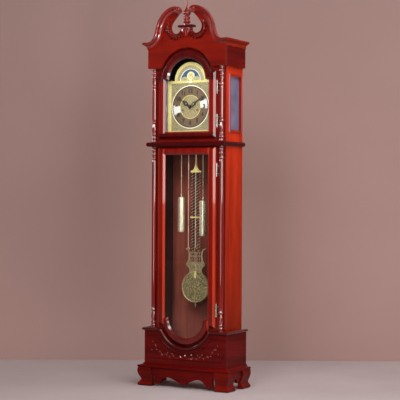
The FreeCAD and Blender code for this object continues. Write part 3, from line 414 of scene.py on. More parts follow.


# Tones of the wood, in pairs of dark and light. The case is one mahogany: the sides' lighter orange tones are painted
# light and the fronts' darker red tones painted shade, and the still darker tones of the base are painted shade too.
red_dark = (0.12, 0.003, 0.0015)
red_light = (0.25, 0.008, 0.003)
# Darker tones; on the hood door frame's arch and bottom rail they are painted shade
door_dark = (0.035, 0.001, 0.001)
door_light = (0.1, 0.003, 0.002)
base_dark = (0.06, 0.0015, 0.0015)
base_light = (0.135, 0.004, 0.003)
side_dark = (0.36, 0.015, 0.0035)
side_light = (0.61, 0.04, 0.0085)
cornice_dark = (0.19, 0.009, 0.003)
cornice_light = (0.35, 0.022, 0.007)
maroon_dark = (0.06, 0.0015, 0.0015)
maroon_light = (0.16, 0.005, 0.003)

# Weights of the polish
gloss = 0.8
satin = 0.06

# Other tones on part of a piece: two tones and the values of zone, in metres
# Painted shade on the inner faces of the case sides
inside_painted_shade = ((0.028, 0.012, 0.012), (0.046, 0.021, 0.019), "X", -1.0, inside_x * mm)
# The hood door frame is in the darker tones, painted shade, on its arch and bottom rail, and in the red between these
# heights
door_unshaded_sides = (red_dark, red_light, "Z", 1.335, 1.61)
# Painted highlight: a pale lilac strip on the window frames' edges beside the pane
trim_painted_highlight = ((0.26, 0.13, 0.16), (0.36, 0.2, 0.25), "Y", 0.0625, 0.07, 0.0405)
lit_bevels = ((0.32, 0.023, 0.007), (0.49, 0.045, 0.014), "X", 0.0115, 0.0215, 0.1525, True)
back_middle = (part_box("back_panel")[0][1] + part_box("back_panel")[1][1]) / 2.0
back_tone = ((0.2, 0.04, 0.015), (0.34, 0.078, 0.03), "Y", back_middle, 1.0)
plate_tone = ((0.03, 0.001, 0.001), (0.06, 0.002, 0.002), "Z", 1.885, 1.9)

# The woods, metals, paints and glass
wood_up = make_wood("mahogany_upright", "Z", red_dark, red_light, gloss)
wood_column = make_wood("mahogany_column", "Z", red_dark, red_light, 1.0, shine=2.2)
# The trunk door frame's upright bevels get a lighter orange tone, painted light, and the frame darkens towards the
# bottom, painted shade
wood_polish = make_wood("mahogany_polished", "Z", red_dark, red_light, gloss, lit_bevels, (0.25, 0.5, 0.55), 1.6)
wood_door_painted_shade = make_wood("mahogany_hood_door_painted_shade", "Z", door_dark, door_light, 0.6, door_unshaded_sides, shine=1.75)
wood_across = make_wood("mahogany_across", "X", (0.1, 0.003, 0.0012), (0.215, 0.008, 0.0025), 0.45)
wood_carved = make_wood("mahogany_carved", "Z", red_dark, red_light, 0.4)
wood_base = make_wood("mahogany_base", "X", base_dark, base_light, satin)
wood_foot = make_wood("mahogany_foot", "X", (0.08, 0.003, 0.002), (0.18, 0.008, 0.004), satin)
wood_panel = make_wood("mahogany_panel", "X", base_dark, base_light, 0.15)
wood_neck = make_wood("mahogany_neck", "X", red_dark, red_light, 1.0, shine=1.9)
wood_moulding = make_wood("mahogany_moulding", "X", door_dark, door_light, gloss)
# Painted shade: a darker copy of the wood, on the waist moulding and the sheet under the carving
wood_painted_shade = make_wood("mahogany_painted_shade", "X", (0.035, 0.001, 0.0015), (0.07, 0.002, 0.003), 0.2)
wood_deep = make_wood("mahogany_front_to_back", "Y", cornice_dark, cornice_light, satin)
wood_maroon = make_wood("mahogany_maroon", "Y", maroon_dark, maroon_light, satin)
# The case sides are darker on their inner faces and towards the foot: painted shade
wood_side = make_wood("mahogany_side", "Z", side_dark, side_light, satin, inside_painted_shade, (0.25, 1.25, 0.5))
wood_trim = make_wood("window_trim", "Z", cornice_dark, cornice_light, 0.3, trim_painted_highlight)
wood_finial = make_wood("mahogany_turned", "Z", red_dark, red_light, gloss, plate_tone)
# The inside veneer goes dark towards the top of the trunk: painted shade
wood_inside = make_wood("inside_veneer", "Z", (0.14, 0.033, 0.023), (0.28, 0.072, 0.049), satin, back_tone,
                        (1.27, 1.19, 0.1))
brass = make_metal("polished_brass", (0.55, 0.42, 0.17), (0.75, 0.6, 0.3), 0.16, 30.0, 0.02)
hinge_brass = make_hinge_metal("hinge_brass")
weight_brass = make_metal("weight_brass", (0.64, 0.56, 0.37), (0.76, 0.69, 0.52), 0.24, 5.0, 0.003, 0.75)
cap_gold = make_metal("cap_gold", (0.8, 0.62, 0.16), (0.95, 0.82, 0.34), 0.3, 40.0, 0.01, 0.25)
# Painted highlight and painted shade on the twisted rods: bright lays and a dark twist
rope_painted_highlight = make_metal("rope_painted_highlight", (0.72, 0.5, 0.36), (0.95, 0.78, 0.6), 0.35, 60.0, 0.03, 0.1)
rope_painted_shade = make_metal("rope_painted_shade", (0.02, 0.004, 0.003), (0.045, 0.011, 0.008), 0.4, 60.0, 0.03, 0.3)
old_gold = make_metal("aged_gold", (0.24, 0.185, 0.09), (0.44, 0.35, 0.2), 0.32, 60.0, 0.05, 0.6)
bob_gold = make_stipple("bob_gold", (0.1, 0.075, 0.025), (0.66, 0.57, 0.3), 0.0048, 0.6, 0.4)
pale_gold = make_metal("pale_gold", (0.52, 0.45, 0.16), (0.65, 0.57, 0.22), 0.45, 40.0, 0.02, 0.25)
spandrel_gold = make_stipple("spandrel_gold", (0.13, 0.11, 0.055), (0.54, 0.48, 0.28), 0.0028, 0.3, 0.45)
centre_gold = make_stipple("centre_gold", (0.17, 0.13, 0.055), (0.52, 0.44, 0.23), 0.0022, 0.3, 0.42)
cream = make_metal("cream_enamel", (0.74, 0.69, 0.47), (0.84, 0.8, 0.6), 0.3, 30.0, 0.01, 0.0)
silver_band = make_stipple("silver_band", (0.24, 0.2, 0.11), (0.52, 0.46, 0.28), 0.003, 0.3, 0.4)
# The chapter ring: painted reflection in brown, with painted highlight wedges
ring_painted_reflection = make_brushed_ring("brushed_ring_painted_reflection", (0.085, 0.05, 0.025), (0.175, 0.108, 0.056), (0.7, 0.69, 0.66))
# Grey-lilac for the painted reflection beside the dial
painted_reflection_grey = make_metal("painted_reflection_grey", (0.1, 0.088, 0.13), (0.16, 0.145, 0.2), 0.4, 20.0, 0.01, 0.2)
steel = make_metal("bright_steel", (0.62, 0.6, 0.55), (0.82, 0.8, 0.75), 0.2, 40.0, 0.02)
black = make_metal("black_hands", (0.008, 0.008, 0.009), (0.02, 0.02, 0.022), 0.35, 50.0, 0.02, 0.0)
line_blue = make_metal("line_blue", (0.05, 0.09, 0.12), (0.1, 0.15, 0.18), 0.5, 60.0, 0.02, 0.0)
blue_paint = make_metal("sky_blue", (0.012, 0.055, 0.14), (0.03, 0.1, 0.22), 0.4, 60.0, 0.02, 0.0)
moon_gold = make_metal("moon_gold", (0.6, 0.5, 0.2), (0.8, 0.72, 0.36), 0.35, 60.0, 0.02, 0.3)
# A brighter copy of the pearl, for painted glints
pearl_painted_glint = make_pearl("mother_of_pearl_painted_glint", ((0.5, 0.32, 0.28), (0.8, 0.68, 0.6), (0.6, 0.5, 0.46)))
dull_pearl = make_pearl("dull_pearl", ((0.14, 0.02, 0.02), (0.26, 0.08, 0.07), (0.18, 0.05, 0.045)))
chain_metal = make_metal("chain_metal", (0.6, 0.52, 0.36), (0.8, 0.74, 0.56), 0.3, 60.0, 0.02, 0.7)
glass = make_glass("clear_glass", (0.95, 0.98, 0.97), (0.99, 0.995, 0.995))
pane_painted_reflection = make_pane("pane_painted_reflection", (0.13, 0.13, 0.21), (0.21, 0.21, 0.33))

# The nodes that each material covers
finish = {
    wood_up: "front_stiles",
    wood_column: "columns",
    wood_polish: "trunk_door_frame",
    wood_finial: "finial",
    wood_door_painted_shade: "hood_door_frame",
    wood_side: "case_sides",
    wood_trim: "window_frames",
    wood_maroon: "frieze_sides base_sides",
    wood_across: "front_rails frieze_front pediment_carving",
    wood_neck: "swan_necks",
    wood_base: "plinth_moulding aprons",
    wood_foot: "feet",
    wood_panel: "base_front",
    wood_moulding: "base_top_moulding",
    wood_painted_shade: "waist_moulding",
    wood_deep: "side_cornices base_floor top_board seat_board",
    wood_inside: "back_panel",
    weight_brass: "left_weight right_weight",
    brass: "left_chain right_chain left_tail_chain right_tail_chain left_tail_ring right_tail_ring back_cock "
           "movement_frame left_arbor right_arbor hour_wheel minute_wheel escape_wheel",
    cap_gold: "pendulum_hanger",
    old_gold: "pendulum_rods pendulum_lyre rating_nut",
    bob_gold: "pendulum_bob",
    pale_gold: "dial_plate",
    centre_gold: "dial_centre",
    ring_painted_reflection: "dial_rings",
    hinge_brass: "case_hinges hood_door_hinge_leaves trunk_door_hinge_leaves",
    steel: "centre_arbor pallets gong strike_hammer",
    black: "hour_hand minute_hand",
    blue_paint: "moon_disc",
    glass: "hood_door_glass trunk_door_glass",
    pane_painted_reflection: "window_glass",
}

# Width of the rounded edges of the wooden pieces, in millimetres
soft_edges = {
    1.2: "front_stiles hood_door_frame trunk_door_frame case_sides base_sides base_front frieze_front frieze_sides "
         "top_board aprons front_rails",
    0.6: "waist_moulding swan_necks side_cornices base_top_moulding plinth_moulding feet window_frames",
}


def dress_nodes():
    for material, names in finish.items():
        for name in names.split():
            mesh = nodes[name].data
            mesh.materials.clear()
            mesh.materials.append(material)
    for width, names in soft_edges.items():
        for name in names.split():
            soft = nodes[name].modifiers.new("soft_edges", "BEVEL")
            soft.width = width * mm
            soft.segments = 2
            soft.limit_method = "ANGLE"
            soft.angle_limit = math.radians(40.0)
            soft.use_clamp_overlap = False
            soft.harden_normals = True


# Mesh building, in millimetres

def piece(name, shape, material, body, stands_for=(), angle=35.0):
    """Makes one visible piece and sets it on its body, if one is given."""
    points, faces = shape
    mesh = bpy.data.meshes.new(name)
    mesh.from_pydata([(x * mm, y * mm, z * mm) for x, y, z in points], [], faces)
    work = bmesh.new()
    work.from_mesh(mesh)
    bmesh.ops.recalc_face_normals(work, faces=work.faces)
    work.to_mesh(mesh)
    work.free()
    mesh.materials.append(material)
    mesh.shade_smooth()
    mesh.set_sharp_from_angle(angle=math.radians(angle))
    made = bpy.data.objects.new(name, mesh)
    bpy.context.collection.objects.link(made)
    if body:
        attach(made, body)
    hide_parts(*stands_for)
    return made


def new_shape():
    return [], []


def loft(shape, rings, loop=False):
    points, faces = shape
    first = len(points)
    size = len(rings[0])
    for ring in rings:
        points.extend(ring)
    count = len(rings)
    for i in range(count if loop else count - 1):
        a = first + i * size
        b = first + ((i + 1) % count) * size
        for j in range(size):
            k = (j + 1) % size
            faces.append((a + j, a + k, b + k, b + j))
    if not loop:
        faces.append(tuple(first + j for j in range(size)))
        faces.append(tuple(first + (count - 1) * size + j for j in range(size)))


def smooth(points, steps):
    """Points along a rounded line through the given ones."""
    line = []
    last = len(points) - 1
    for i in range(last):
        p0 = Vector(points[max(i - 1, 0)])
        p1 = Vector(points[i])
        p2 = Vector(points[i + 1])
        p3 = Vector(points[min(i + 2, last)])
        for s in range(steps):
            t = s / steps
            line.append(0.5 * (2.0 * p1 + (p2 - p0) * t + (2.0 * p0 - 5.0 * p1 + 4.0 * p2 - p3) * t ** 2
                               + (3.0 * p1 - p0 - 3.0 * p2 + p3) * t ** 3))
    line.append(Vector(points[last]))
    return line


def heading(line, i):
    """The way along a line at one of its points, and the way across it."""
    along = (line[min(i + 1, len(line) - 1)] - line[max(i - 1, 0)]).normalized()
    return along, Vector((-along.y, along.x))


def around(count):
    """Cosine and sine of even steps round a circle."""
    angles = [2.0 * math.pi * i / count for i in range(count)]
    return [(math.cos(a), math.sin(a)) for a in angles]


def flipped(points, side):
    return [(side * x, z) for x, z in points]


def strip(half, low, high):
    """The outline of an upright strip about the middle line."""
    return [(-half, low), (half, low), (half, high), (-half, high)]


def wire(shape, line, radii, y, sides=8, flat=1.0):
    """A round or flattened bar that follows a line in the front plane."""
    line = [Vector(p) for p in line]
    if not isinstance(radii, (list, tuple)):
        radii = [radii] * len(line)
    rings = []
    for i, p in enumerate(line):
        across = heading(line, i)[1] * radii[i]
        ring = []
        for c, s in around(sides):
            q = p + across * c
            ring.append((q.x, y + radii[i] * flat * s, q.y))
        rings.append(ring)
    loft(shape, rings)


def leaf(shape, line, widths, rise, y, vein=0.35):
    """A carved leaf on a front board: domed across, with a groove down its middle."""
    line = [Vector(p) for p in line]
    steps = (-1.0, -0.8, -0.45, -0.12, 0.0, 0.12, 0.45, 0.8, 1.0)
    rings = []
    for i, p in enumerate(line):
        across = heading(line, i)[1] * widths[i]
        ring = []
        for s in steps:
            q = p + across * s
            up = rise * min(1.0, widths[i] / max(widths) + 0.25) * (1.0 - s * s)
            if s == 0.0:
                up *= 1.0 - vein
            ring.append((q.x, y - up, q.y))
        for s in (0.5, -0.5):
            q = p + across * s
            ring.append((q.x, y + 0.4, q.y))
        rings.append(ring)
    loft(shape, rings)


def ring_y(shape, section, x, z, start=0.0, end=360.0, steps=72):
    """A section of (radius, y) points turned about an axis that runs front to back."""
    whole = end - start >= 360.0
    rings = []
    for i in range(steps if whole else steps + 1):
        a = math.radians(start + (end - start) * i / steps)
        rings.append([(x + r * math.sin(a), y, z + r * math.cos(a)) for r, y in section])
    loft(shape, rings, whole)


def flat_ring(r0, r1, y0, y1, soft=0.4):
    """The section of a flat ring with softened front edges; y1 is the front."""
    return [(r0, y0), (r0, y1 + soft), (r0 + soft, y1), (r1 - soft, y1), (r1, y1 + soft), (r1, y0)]


def slab(shape, outline, y0, y1, soft=0.3):
    """A plate with the outline (x, z) between y0 and its front y1, with a small bevel."""
    middle = sum((Vector(p) for p in outline), Vector((0.0, 0.0))) / len(outline)
    inner = []
    for p in outline:
        away = Vector(p) - middle
        inner.append(middle + away * (1.0 - soft / max(away.length, soft * 2.0)))
    rings = [[(p[0], y0, p[1]) for p in outline], [(p[0], y1 + soft, p[1]) for p in outline]]
    rings.append([(p.x, y1, p.y) for p in inner])
    loft(shape, rings)


def dome(shape, x, y, z, radius, rise, sides=12, levels=(0.0, 30.0, 60.0, 84.0)):
    """A round boss on a front face; the levels are the angles at which its rings lie."""
    rings = []
    for level in levels:
        r = radius * math.cos(math.radians(level))
        up = rise * math.sin(math.radians(level))
        rings.append([(x + r * c, y - up, z + r * s) for c, s in around(sides)])
    loft(shape, rings)


def turned_points(points, angle, x, z):
    """Turns (across, along) points clockwise by an angle and moves them to x, z."""
    a = math.radians(angle)
    return [(x + u * math.cos(a) + v * math.sin(a), z - u * math.sin(a) + v * math.cos(a)) for u, v in points]


def spiral(x, z, r0, r1, start, sweep, steps=20):
    line = []
    for i in range(steps + 1):
        t = i / steps
        a = math.radians(start + sweep * t)
        r = r0 + (r1 - r0) * t
        line.append((x + r * math.cos(a), z + r * math.sin(a)))
    return line


def leaf_wheel(shape, x, z, count, start, reaches, widths, rise, y, vein=0.35):
    """Leaves set like spokes, the first one turned by the start angle."""
    line = [(0.0, reach) for reach in reaches]
    for i in range(count):
        leaf(shape, turned_points(line, start + i * 360.0 / count, x, z), widths, rise, y, vein)


# Dial

def dial_ring(shape, r0, r1, rise, soft=0.4, steps=120):
    """A ring round the dial's centre."""
    ring_y(shape, flat_ring(r0, r1, dial_front, dial_front - rise, soft), 0.0, dial_z, steps=steps)


def arch_ring(shape, r0, r1, rise, soft=0.4, x=0.0, sunk=0.0, steps=60):
    """A half ring in the dial's arch."""
    ring_y(shape, flat_ring(r0, r1, dial_front + sunk, dial_front - rise, soft), x, arch_z, -90.0, 90.0, steps)


def make_spandrels():
    panel = new_shape()
    slab(panel, strip(117.0, 1350.0, 1601.0), dial_front, dial_front - 0.4, 0.2)
    piece("spandrel_panel", panel, spandrel_gold, "case")
    stems = (((112.0, 4.0), (70.0, 8.0), 7.0), ((112.0, 4.0), (108.0, 46.0), 7.0), ((108.0, 8.0), (92.0, 24.0), 5.0))
    berries = ((104.0, 12.0), (98.0, 34.0), (82.0, 14.0), (110.0, 60.0), (58.0, 6.0))
    scrolls = new_shape()
    for sx in (-1.0, 1.0):
        for corner_z, sz in ((1360.0, 1.0), (1593.0, -1.0)):
            for (x0, z0), (x1, z1), curl in stems:
                path = smooth([(x0, z0), ((x0 + x1) / 2.0 + 3.0, (z0 + z1) / 2.0 + 4.0), (x1, z1)], 6)
                path += spiral(x1, z1 + curl, curl, 1.5, -90.0, -400.0)
                path = [(sx * p[0], corner_z + sz * p[1]) for p in path]
                count = len(path)
                wire(scrolls, path, [1.9 - 1.1 * i / count for i in range(count)], dial_front - 0.6, 6, 0.7)
            for u, v in berries:
                dome(scrolls, sx * u, dial_front - 0.4, corner_z + sz * v, 3.0, 1.4, 8)
    piece("spandrel_scrolls", scrolls, centre_gold, "case")


def make_rings():
    ring = new_shape()
    dial_ring(ring, 62.0, 110.0, 1.2)
    piece("chapter_ring", ring, ring_painted_reflection, "case", ["dial_rings"])
    inner = new_shape()
    dial_ring(inner, 60.0, 62.6, 1.6, 0.7, 96)
    piece("inner_rim", inner, pale_gold, "case")
    rims = new_shape()
    dial_ring(rims, 109.4, 113.8, 1.7, 0.9)
    arch_ring(rims, 58.5, 62.0, 1.5, 0.7)
    piece("dial_rims", rims, cream, "case")
    band = new_shape()
    arch_ring(band, 61.5, 80.0, 1.0)
    piece("arch_band", band, silver_band, "case", ["dial_rings"])
    marks = new_shape()
    dial_ring(marks, 104.6, 109.6, 1.4, 0.1)
    for minute in range(60):
        dash = strip(1.1 if minute % 5 == 0 else 0.5, 98.0, 103.8)
        slab(marks, turned_points(dash, minute * 6.0, 0.0, dial_z), dial_front - 1.0, dial_front - 1.35, 0.1)
    for side in (-1.0, 1.0):
        hole_rim = flat_ring(5.9, 7.6, dial_front, dial_front - 0.9, 0.2)
        ring_y(marks, hole_rim, side * arbor_x, arbor_z, steps=32)
    piece("minute_marks", marks, black, "case")


def make_numerals():
    shape = new_shape()
    points, faces = shape
    for hour in range(1, 13):
        curve = bpy.data.curves.new("numeral", "FONT")
        curve.body = str(hour)
        curve.size = 29.0
        curve.align_x = "CENTER"
        curve.align_y = "CENTER"
        curve.extrude = 0.25
        curve.offset = 1.8
        curve.resolution_u = 4
        text = bpy.data.objects.new("numeral", curve)
        bpy.context.collection.objects.link(text)
        mesh = bpy.data.meshes.new_from_object(text)
        x, z = turned_points([(0.0, numeral_r)], hour * 30.0, 0.0, dial_z)[0]
        first = len(points)
        points.extend((x + v.co.x, dial_front - 1.25 - v.co.z, z + v.co.y) for v in mesh.vertices)
        faces.extend(tuple(first + i for i in polygon.vertices) for polygon in mesh.polygons)
        bpy.data.objects.remove(text)
        bpy.data.curves.remove(curve)
        bpy.data.meshes.remove(mesh)
    piece("hour_numerals", shape, black, "case")


def make_dial_centre():
    leaves = new_shape()
    leaf_wheel(leaves, 0.0, dial_z, 12, 0.0, (20.0, 27.0, 35.0, 41.0), (1.0, 3.4, 2.8, 0.5), 0.8, dial_front - 0.6)
    curl = [(3.0, 44.0), (8.0, 47.0), (10.0, 52.0), (6.0, 55.0), (3.0, 52.5)]
    for i in range(12):
        for side in (-1.0, 1.0):
            line = turned_points(smooth(flipped(curl, side), 4), i * 30.0 + 15.0, 0.0, dial_z)
            wire(leaves, line, 0.9, dial_front - 0.7, 6, 0.7)
    dial_ring(leaves, 16.0, 18.5, 1.4, 0.6, 48)
    piece("centre_leaves", leaves, centre_gold, "case")


def make_dial_arch():
    maps = new_shape()
    for side in (-1.0, 1.0):
        for r in (20.5, 14.0, 7.5):
            arch_ring(maps, r - 0.9, r + 0.9, 0.9, 0.4, side * map_x, 0.2, 36)
        for angle in (-60.0, -30.0, 0.0, 30.0, 60.0):
            spoke = turned_points(strip(0.5, 2.0, 20.0), angle, side * map_x, arch_z)
            slab(maps, spoke, dial_front + 0.2, dial_front - 0.6, 0.2)
    piece("hemisphere_maps", maps, line_blue, "case")
    pointer = new_shape()
    slab(pointer, [(-9.0, 1601.0), (9.0, 1601.0), (4.0, 1612.0), (0.0, 1621.0), (-4.0, 1612.0)],
         dial_front + 0.4, dial_front - 1.2, 0.5)
    piece("moon_pointer", pointer, cream, "case")
    # Grey-lilac strips beside the dial: painted reflection
    reflection_strips = new_shape()
    edge = [(dial_front, 1336.0), (-70.0, 1336.0), (-71.0, 1338.0), (-71.0, 1611.0), (-70.0, 1613.0),
            (dial_front, 1613.0)]
    for side in (-1.0, 1.0):
        loft(reflection_strips, [[(side * x, y, z) for y, z in edge] for x in (139.0, 139.4, 141.0)])
    piece("dial_painted_reflection", reflection_strips, painted_reflection_grey, "case")


def make_moon():
    faces = new_shape()
    features = new_shape()
    stars = new_shape()
    for side in (1.0, -1.0):
        z = moon_z + side * moon_face_reach
        dome(faces, 0.0, moon_front + 0.2, z, 24.0, 1.5, 40, (0.0, 25.0, 50.0, 75.0, 88.0))
        for eye in (-1.0, 1.0):
            dome(features, eye * 7.0, moon_front - 1.0, z + side * 4.5, 2.6, 0.8)
            brow = [(eye * 3.5, z + side * 8.5), (eye * 7.0, z + side * 10.5), (eye * 11.0, z + side * 8.0)]
            wire(features, smooth(brow, 5), 0.7, moon_front - 1.2, 6)
            dome(features, eye * 10.0, moon_front - 0.6, z - side * 5.5, 3.6, 0.7)
        nose = [(0.0, z + side * 6.0), (0.6, z), (0.0, z - side * 4.0)]
        wire(features, smooth(nose, 5), 1.2, moon_front - 1.3, 6)
        mouth = [(-5.5, z - side * 8.0), (0.0, z - side * 10.5), (5.5, z - side * 8.0)]
        wire(features, smooth(mouth, 5), 0.8, moon_front - 1.0, 6)
    star_count = 26
    for i in range(star_count):
        angle = i * 137.5
        reach = 24.0 + 44.0 * ((i * 7) % star_count) / star_count
        x, z = turned_points([(0.0, reach)], angle, 0.0, moon_z)[0]
        # Stars stand clear of both faces
        if min(math.hypot(x, z - moon_z - side * moon_face_reach) for side in (-1.0, 1.0)) > 27.0:
            star = [(x + r * s, z + r * c) for r, (c, s) in zip((2.4, 1.0) * 5, around(10))]
            slab(stars, star, moon_front + 0.1, moon_front - 0.25, 0.1)
    piece("moon_faces", faces, moon_gold, "moon")
    piece("moon_features", features, line_blue, "moon")
    piece("moon_stars", stars, moon_gold, "moon")


def make_hand(angle, y0, y1, parts, loops, curls):
    """A pierced hand from y0 to its front y1: tapered bars, open rings and pairs of curls."""
    shape = new_shape()
    for reaches, widths in parts:
        line = turned_points([(0.0, reach) for reach in reaches], angle, 0.0, dial_z)
        leaf(shape, line, widths, 0.6, y1 + 0.6, 0.0)
        wire(shape, line, widths, (y0 + y1 + 0.6) / 2.0, 8, 0.3 * (y0 - y1) / max(widths))
    for centre, outer, inner in loops:
        x, z = turned_points([(0.0, centre)], angle, 0.0, dial_z)[0]
        ring_y(shape, flat_ring(inner, outer, y0, y1, 0.4), x, z, steps=36)
    for curl in curls:
        for side in (-1.0, 1.0):
            line = turned_points(smooth(flipped(curl, side), 5), angle, 0.0, dial_z)
            wire(shape, line, 0.9, (y0 + y1) / 2.0, 6, 0.6)
    return shape


def make_hands():
    hour = make_hand(
        hour_angle, -50.8, -52.0,
        [((8.0, 14.0, 20.0), (4.2, 3.0, 3.8)), ((42.0, 46.0, 52.0, 63.0), (3.2, 5.4, 3.2, 0.7))],
        [(0.0, 9.5, 4.0), (31.0, 12.5, 5.5)],
        [[(1.0, 44.0), (6.0, 42.0), (9.0, 46.0), (6.5, 49.5), (4.5, 47.0)],
         [(1.0, 13.0), (6.0, 13.0), (7.0, 18.0), (3.5, 18.5)]])
    piece("hour_hand_pierced", hour, black, "hour", ["hour_hand"])
    minute = make_hand(
        minute_angle, -55.8, -57.0,
        [((7.0, 12.0, 19.0), (3.4, 2.6, 3.2)),
         ((35.0, 42.0, 52.0, 64.0, 80.0, 99.0), (2.8, 4.2, 2.6, 3.6, 2.6, 0.6))],
        [(0.0, 8.0, 3.0), (27.0, 9.5, 5.0)],
        [[(1.0, 37.0), (5.0, 36.0), (7.5, 40.0), (5.0, 43.0), (3.5, 40.5)],
         [(1.0, 52.0), (4.5, 52.5), (5.5, 57.0), (3.0, 58.0)]])
    nut = [(0.4, -55.8), (5.5, -55.8), (5.5, -59.4), (4.2, -60.6), (0.4, -61.0)]
    ring_y(minute, nut, 0.0, dial_z, steps=24)
    piece("minute_hand_pierced", minute, black, "minute", ["minute_hand"])


# Chains

def chain_links(low, wheel_x, turn):
    """Oval links up a strand from its low end and over a quarter of its wheel."""
    pitch = 6.2
    half_length = 4.1
    half_width = 1.6
    bar_r = 0.75
    straight = arbor_z - low
    shape = new_shape()
    count = int((straight + chain_wheel_r * math.pi / 2.0) / pitch)
    for i in range(count + 1):
        reach = i * pitch
        a = max(0.0, (reach - straight) / chain_wheel_r)
        along = Vector((turn * math.sin(a), 0.0, math.cos(a)))
        out = Vector((-turn * math.cos(a), 0.0, math.sin(a)))
        place = Vector((wheel_x, chain_y, min(low + reach, arbor_z))) + out * chain_wheel_r
        side = Vector((0.0, 1.0, 0.0)) if i % 2 else out
        other = along.cross(side)
        rings = []
        for c, s in around(14):
            centre = place + along * half_length * c + side * half_width * s
            away = (along * half_width * c + side * half_length * s).normalized()
            rings.append([tuple(centre + away * bar_r * u + other * bar_r * v) for u, v in around(5)])
        loft(shape, rings, True)
    return shape


def make_chains():
    for side, name, weight_low in ((-1.0, "left", 1019.7), (1.0, "right", 1000.7)):
        for kind, node, end, low, turn in (("_chain_links", "_chain", "_weight", weight_low, -side),
                                           ("_tail_links", "_tail_chain", "_tail", tail_low, side)):
            shape = chain_links(low, side * arbor_x, turn)
            links = piece(name + kind, shape, chain_metal, None, [name + node])
            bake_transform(links)


# Pendulum

def rope(shape, x, low, high, offset, radius, phase, steps):
    """A strand that winds about a rod at x."""
    rings = []
    for i in range(steps + 1):
        z = low + (high - low) * i / steps
        a = 2.0 * math.pi * (z / rope_pitch + phase)
        cx = x + offset * math.cos(a)
        cy = pendulum_y + offset * math.sin(a)
        rings.append([(cx + radius * c, cy + radius * s, z) for c, s in around(6)])
    loft(shape, rings)


def make_rods():
    highlight_lays = new_shape()
    dark = new_shape()
    # Each rod is a dark twist, painted shade, with bright lays across its front and its back, painted highlights
    for i, x in enumerate((-22.5, -7.5, 7.5, 22.5)):
        phase = 0.5 * (i % 2)
        for half in (0.0, 0.5):
            rope(dark, x, rope_low, rope_high, 2.0, 2.0, phase + half, 180)
        for lay in range(52):
            middle = first_lay + lay * rope_pitch / 2.0
            rope(highlight_lays, x, middle - 2.6, middle + 2.6, 3.4, 1.8, phase + 0.25 - first_lay / rope_pitch, 6)
    # The short cords of the lyre, each a bright strand, painted highlight, wound with a dark one, painted shade
    for x in (-22.5, -9.0, 9.0, 22.5):
        for low, high in ((655.0, 685.0), (689.0, 707.0)):
            rope(highlight_lays, x, low, high, 1.1, 1.1, 0.0, 18)
            rope(dark, x, low, high, 1.1, 1.1, 0.5, 18)
    piece("rope_rods_painted_highlight", highlight_lays, rope_painted_highlight, "pendulum", ["pendulum_rods"], 60.0)
    piece("rope_rods_painted_shade", dark, rope_painted_shade, "pendulum", ["pendulum_rods"], 60.0)
    bar = new_shape()
    rings = []
    for i in range(13):
        x = -32.0 + 64.0 * i / 12.0
        grow = 4.0 + 0.8 * math.cos(math.pi * i)
        rings.append([(x, pendulum_y + 5.0 * c, crossbar_z + grow * s) for c, s in around(8)])
    loft(bar, rings)
    spire = ((6.4, 1148.0), (5.2, 1158.0), (4.6, 1172.0), (4.2, 1196.0), (3.8, 1214.0), (2.6, 1217.0))
    loft(bar, [[(r * c, pendulum_y + r * s, z) for c, s in around(16)] for r, z in spire])
    piece("rod_crossbar", bar, cap_gold, "pendulum", ["pendulum_rods"])


def bob_face(r):
    """How far the bob's front lies behind its middle."""
    stops = ((0.0, 0.0), (24.6, 0.0), (41.0, 0.6), (57.4, 1.6), (76.0, 3.5), (78.0, 1.5), (82.0, 3.0))
    for (r0, d0), (r1, d1) in zip(stops, stops[1:]):
        if r <= r1:
            return bob_front + d0 + (d1 - d0) * (r - r0) / (r1 - r0)
    return bob_front + 3.0


def make_bob():
    relief = new_shape()
    bead_r = 70.0
    leaf_wheel(relief, 0.0, bob_z, 12, 0.0, (10.0, 18.0, 28.0, 38.0), (1.5, 4.6, 4.0, 0.6), 0.7, bob_front + 0.1)
    leaf_wheel(relief, 0.0, bob_z, 24, 7.5, (40.0, 47.0, 55.0, 63.0), (1.5, 4.2, 4.8, 0.8), 0.8, bob_face(58.0) - 0.2)
    for c, s in around(60):
        dome(relief, bead_r * s, bob_face(bead_r) + 0.2, bob_z + bead_r * c, 2.6, 1.0, 8)
    dome(relief, 0.0, bob_front + 0.2, bob_z, 9.0, 1.6, 24)
    piece("bob_relief", relief, bob_gold, "pendulum")
    rim = new_shape()
    section = [(76.5, 13.0), (77.0, 10.6), (78.5, 9.4), (80.5, 9.4), (82.3, 11.5), (82.3, 20.5), (81.0, 21.0)]
    ring_y(rim, section, 0.0, bob_z, steps=96)
    piece("bob_rim", rim, old_gold, "pendulum")
    clip = new_shape()
    slab(clip, [(-6.5, 572.0), (6.5, 572.0), (6.5, 603.0), (4.0, 607.0), (-4.0, 607.0), (-6.5, 603.0)],
         14.0, 6.5, 1.2)
    dome(clip, 0.0, 6.6, 581.0, 3.0, 1.2)
    piece("bob_clip", clip, pale_gold, "pendulum")


def make_lyre():
    trim = new_shape()
    outer = [(35.0, 611.0), (41.0, 627.0), (55.5, 643.0), (46.0, 661.0), (41.0, 680.0), (40.0, 700.0), (44.0, 711.0),
             (50.0, 720.5), (59.0, 726.0)]
    inner = [(6.0, 648.0), (20.0, 640.0), (30.0, 622.0), (24.0, 610.0)]
    for side in (-1.0, 1.0):
        wire(trim, smooth(flipped(outer, side), 6), 1.5, lyre_front, 8, 0.9)
        wire(trim, spiral(side * 44.0, 646.0, 8.0, 1.5, 90.0, side * 480.0, 30), 1.2, lyre_front, 6, 0.9)
        wire(trim, smooth(flipped(inner, side), 6), 1.4, lyre_front, 8, 0.9)
    leaf(trim, [(0.0, 610.0), (0.0, 620.0), (0.0, 634.0), (0.0, 648.0)], (3.0, 9.0, 7.0, 1.0), 2.4, lyre_front)
    piece("lyre_trim", trim, old_gold, "pendulum")


# Carving, inlay and hinge screws

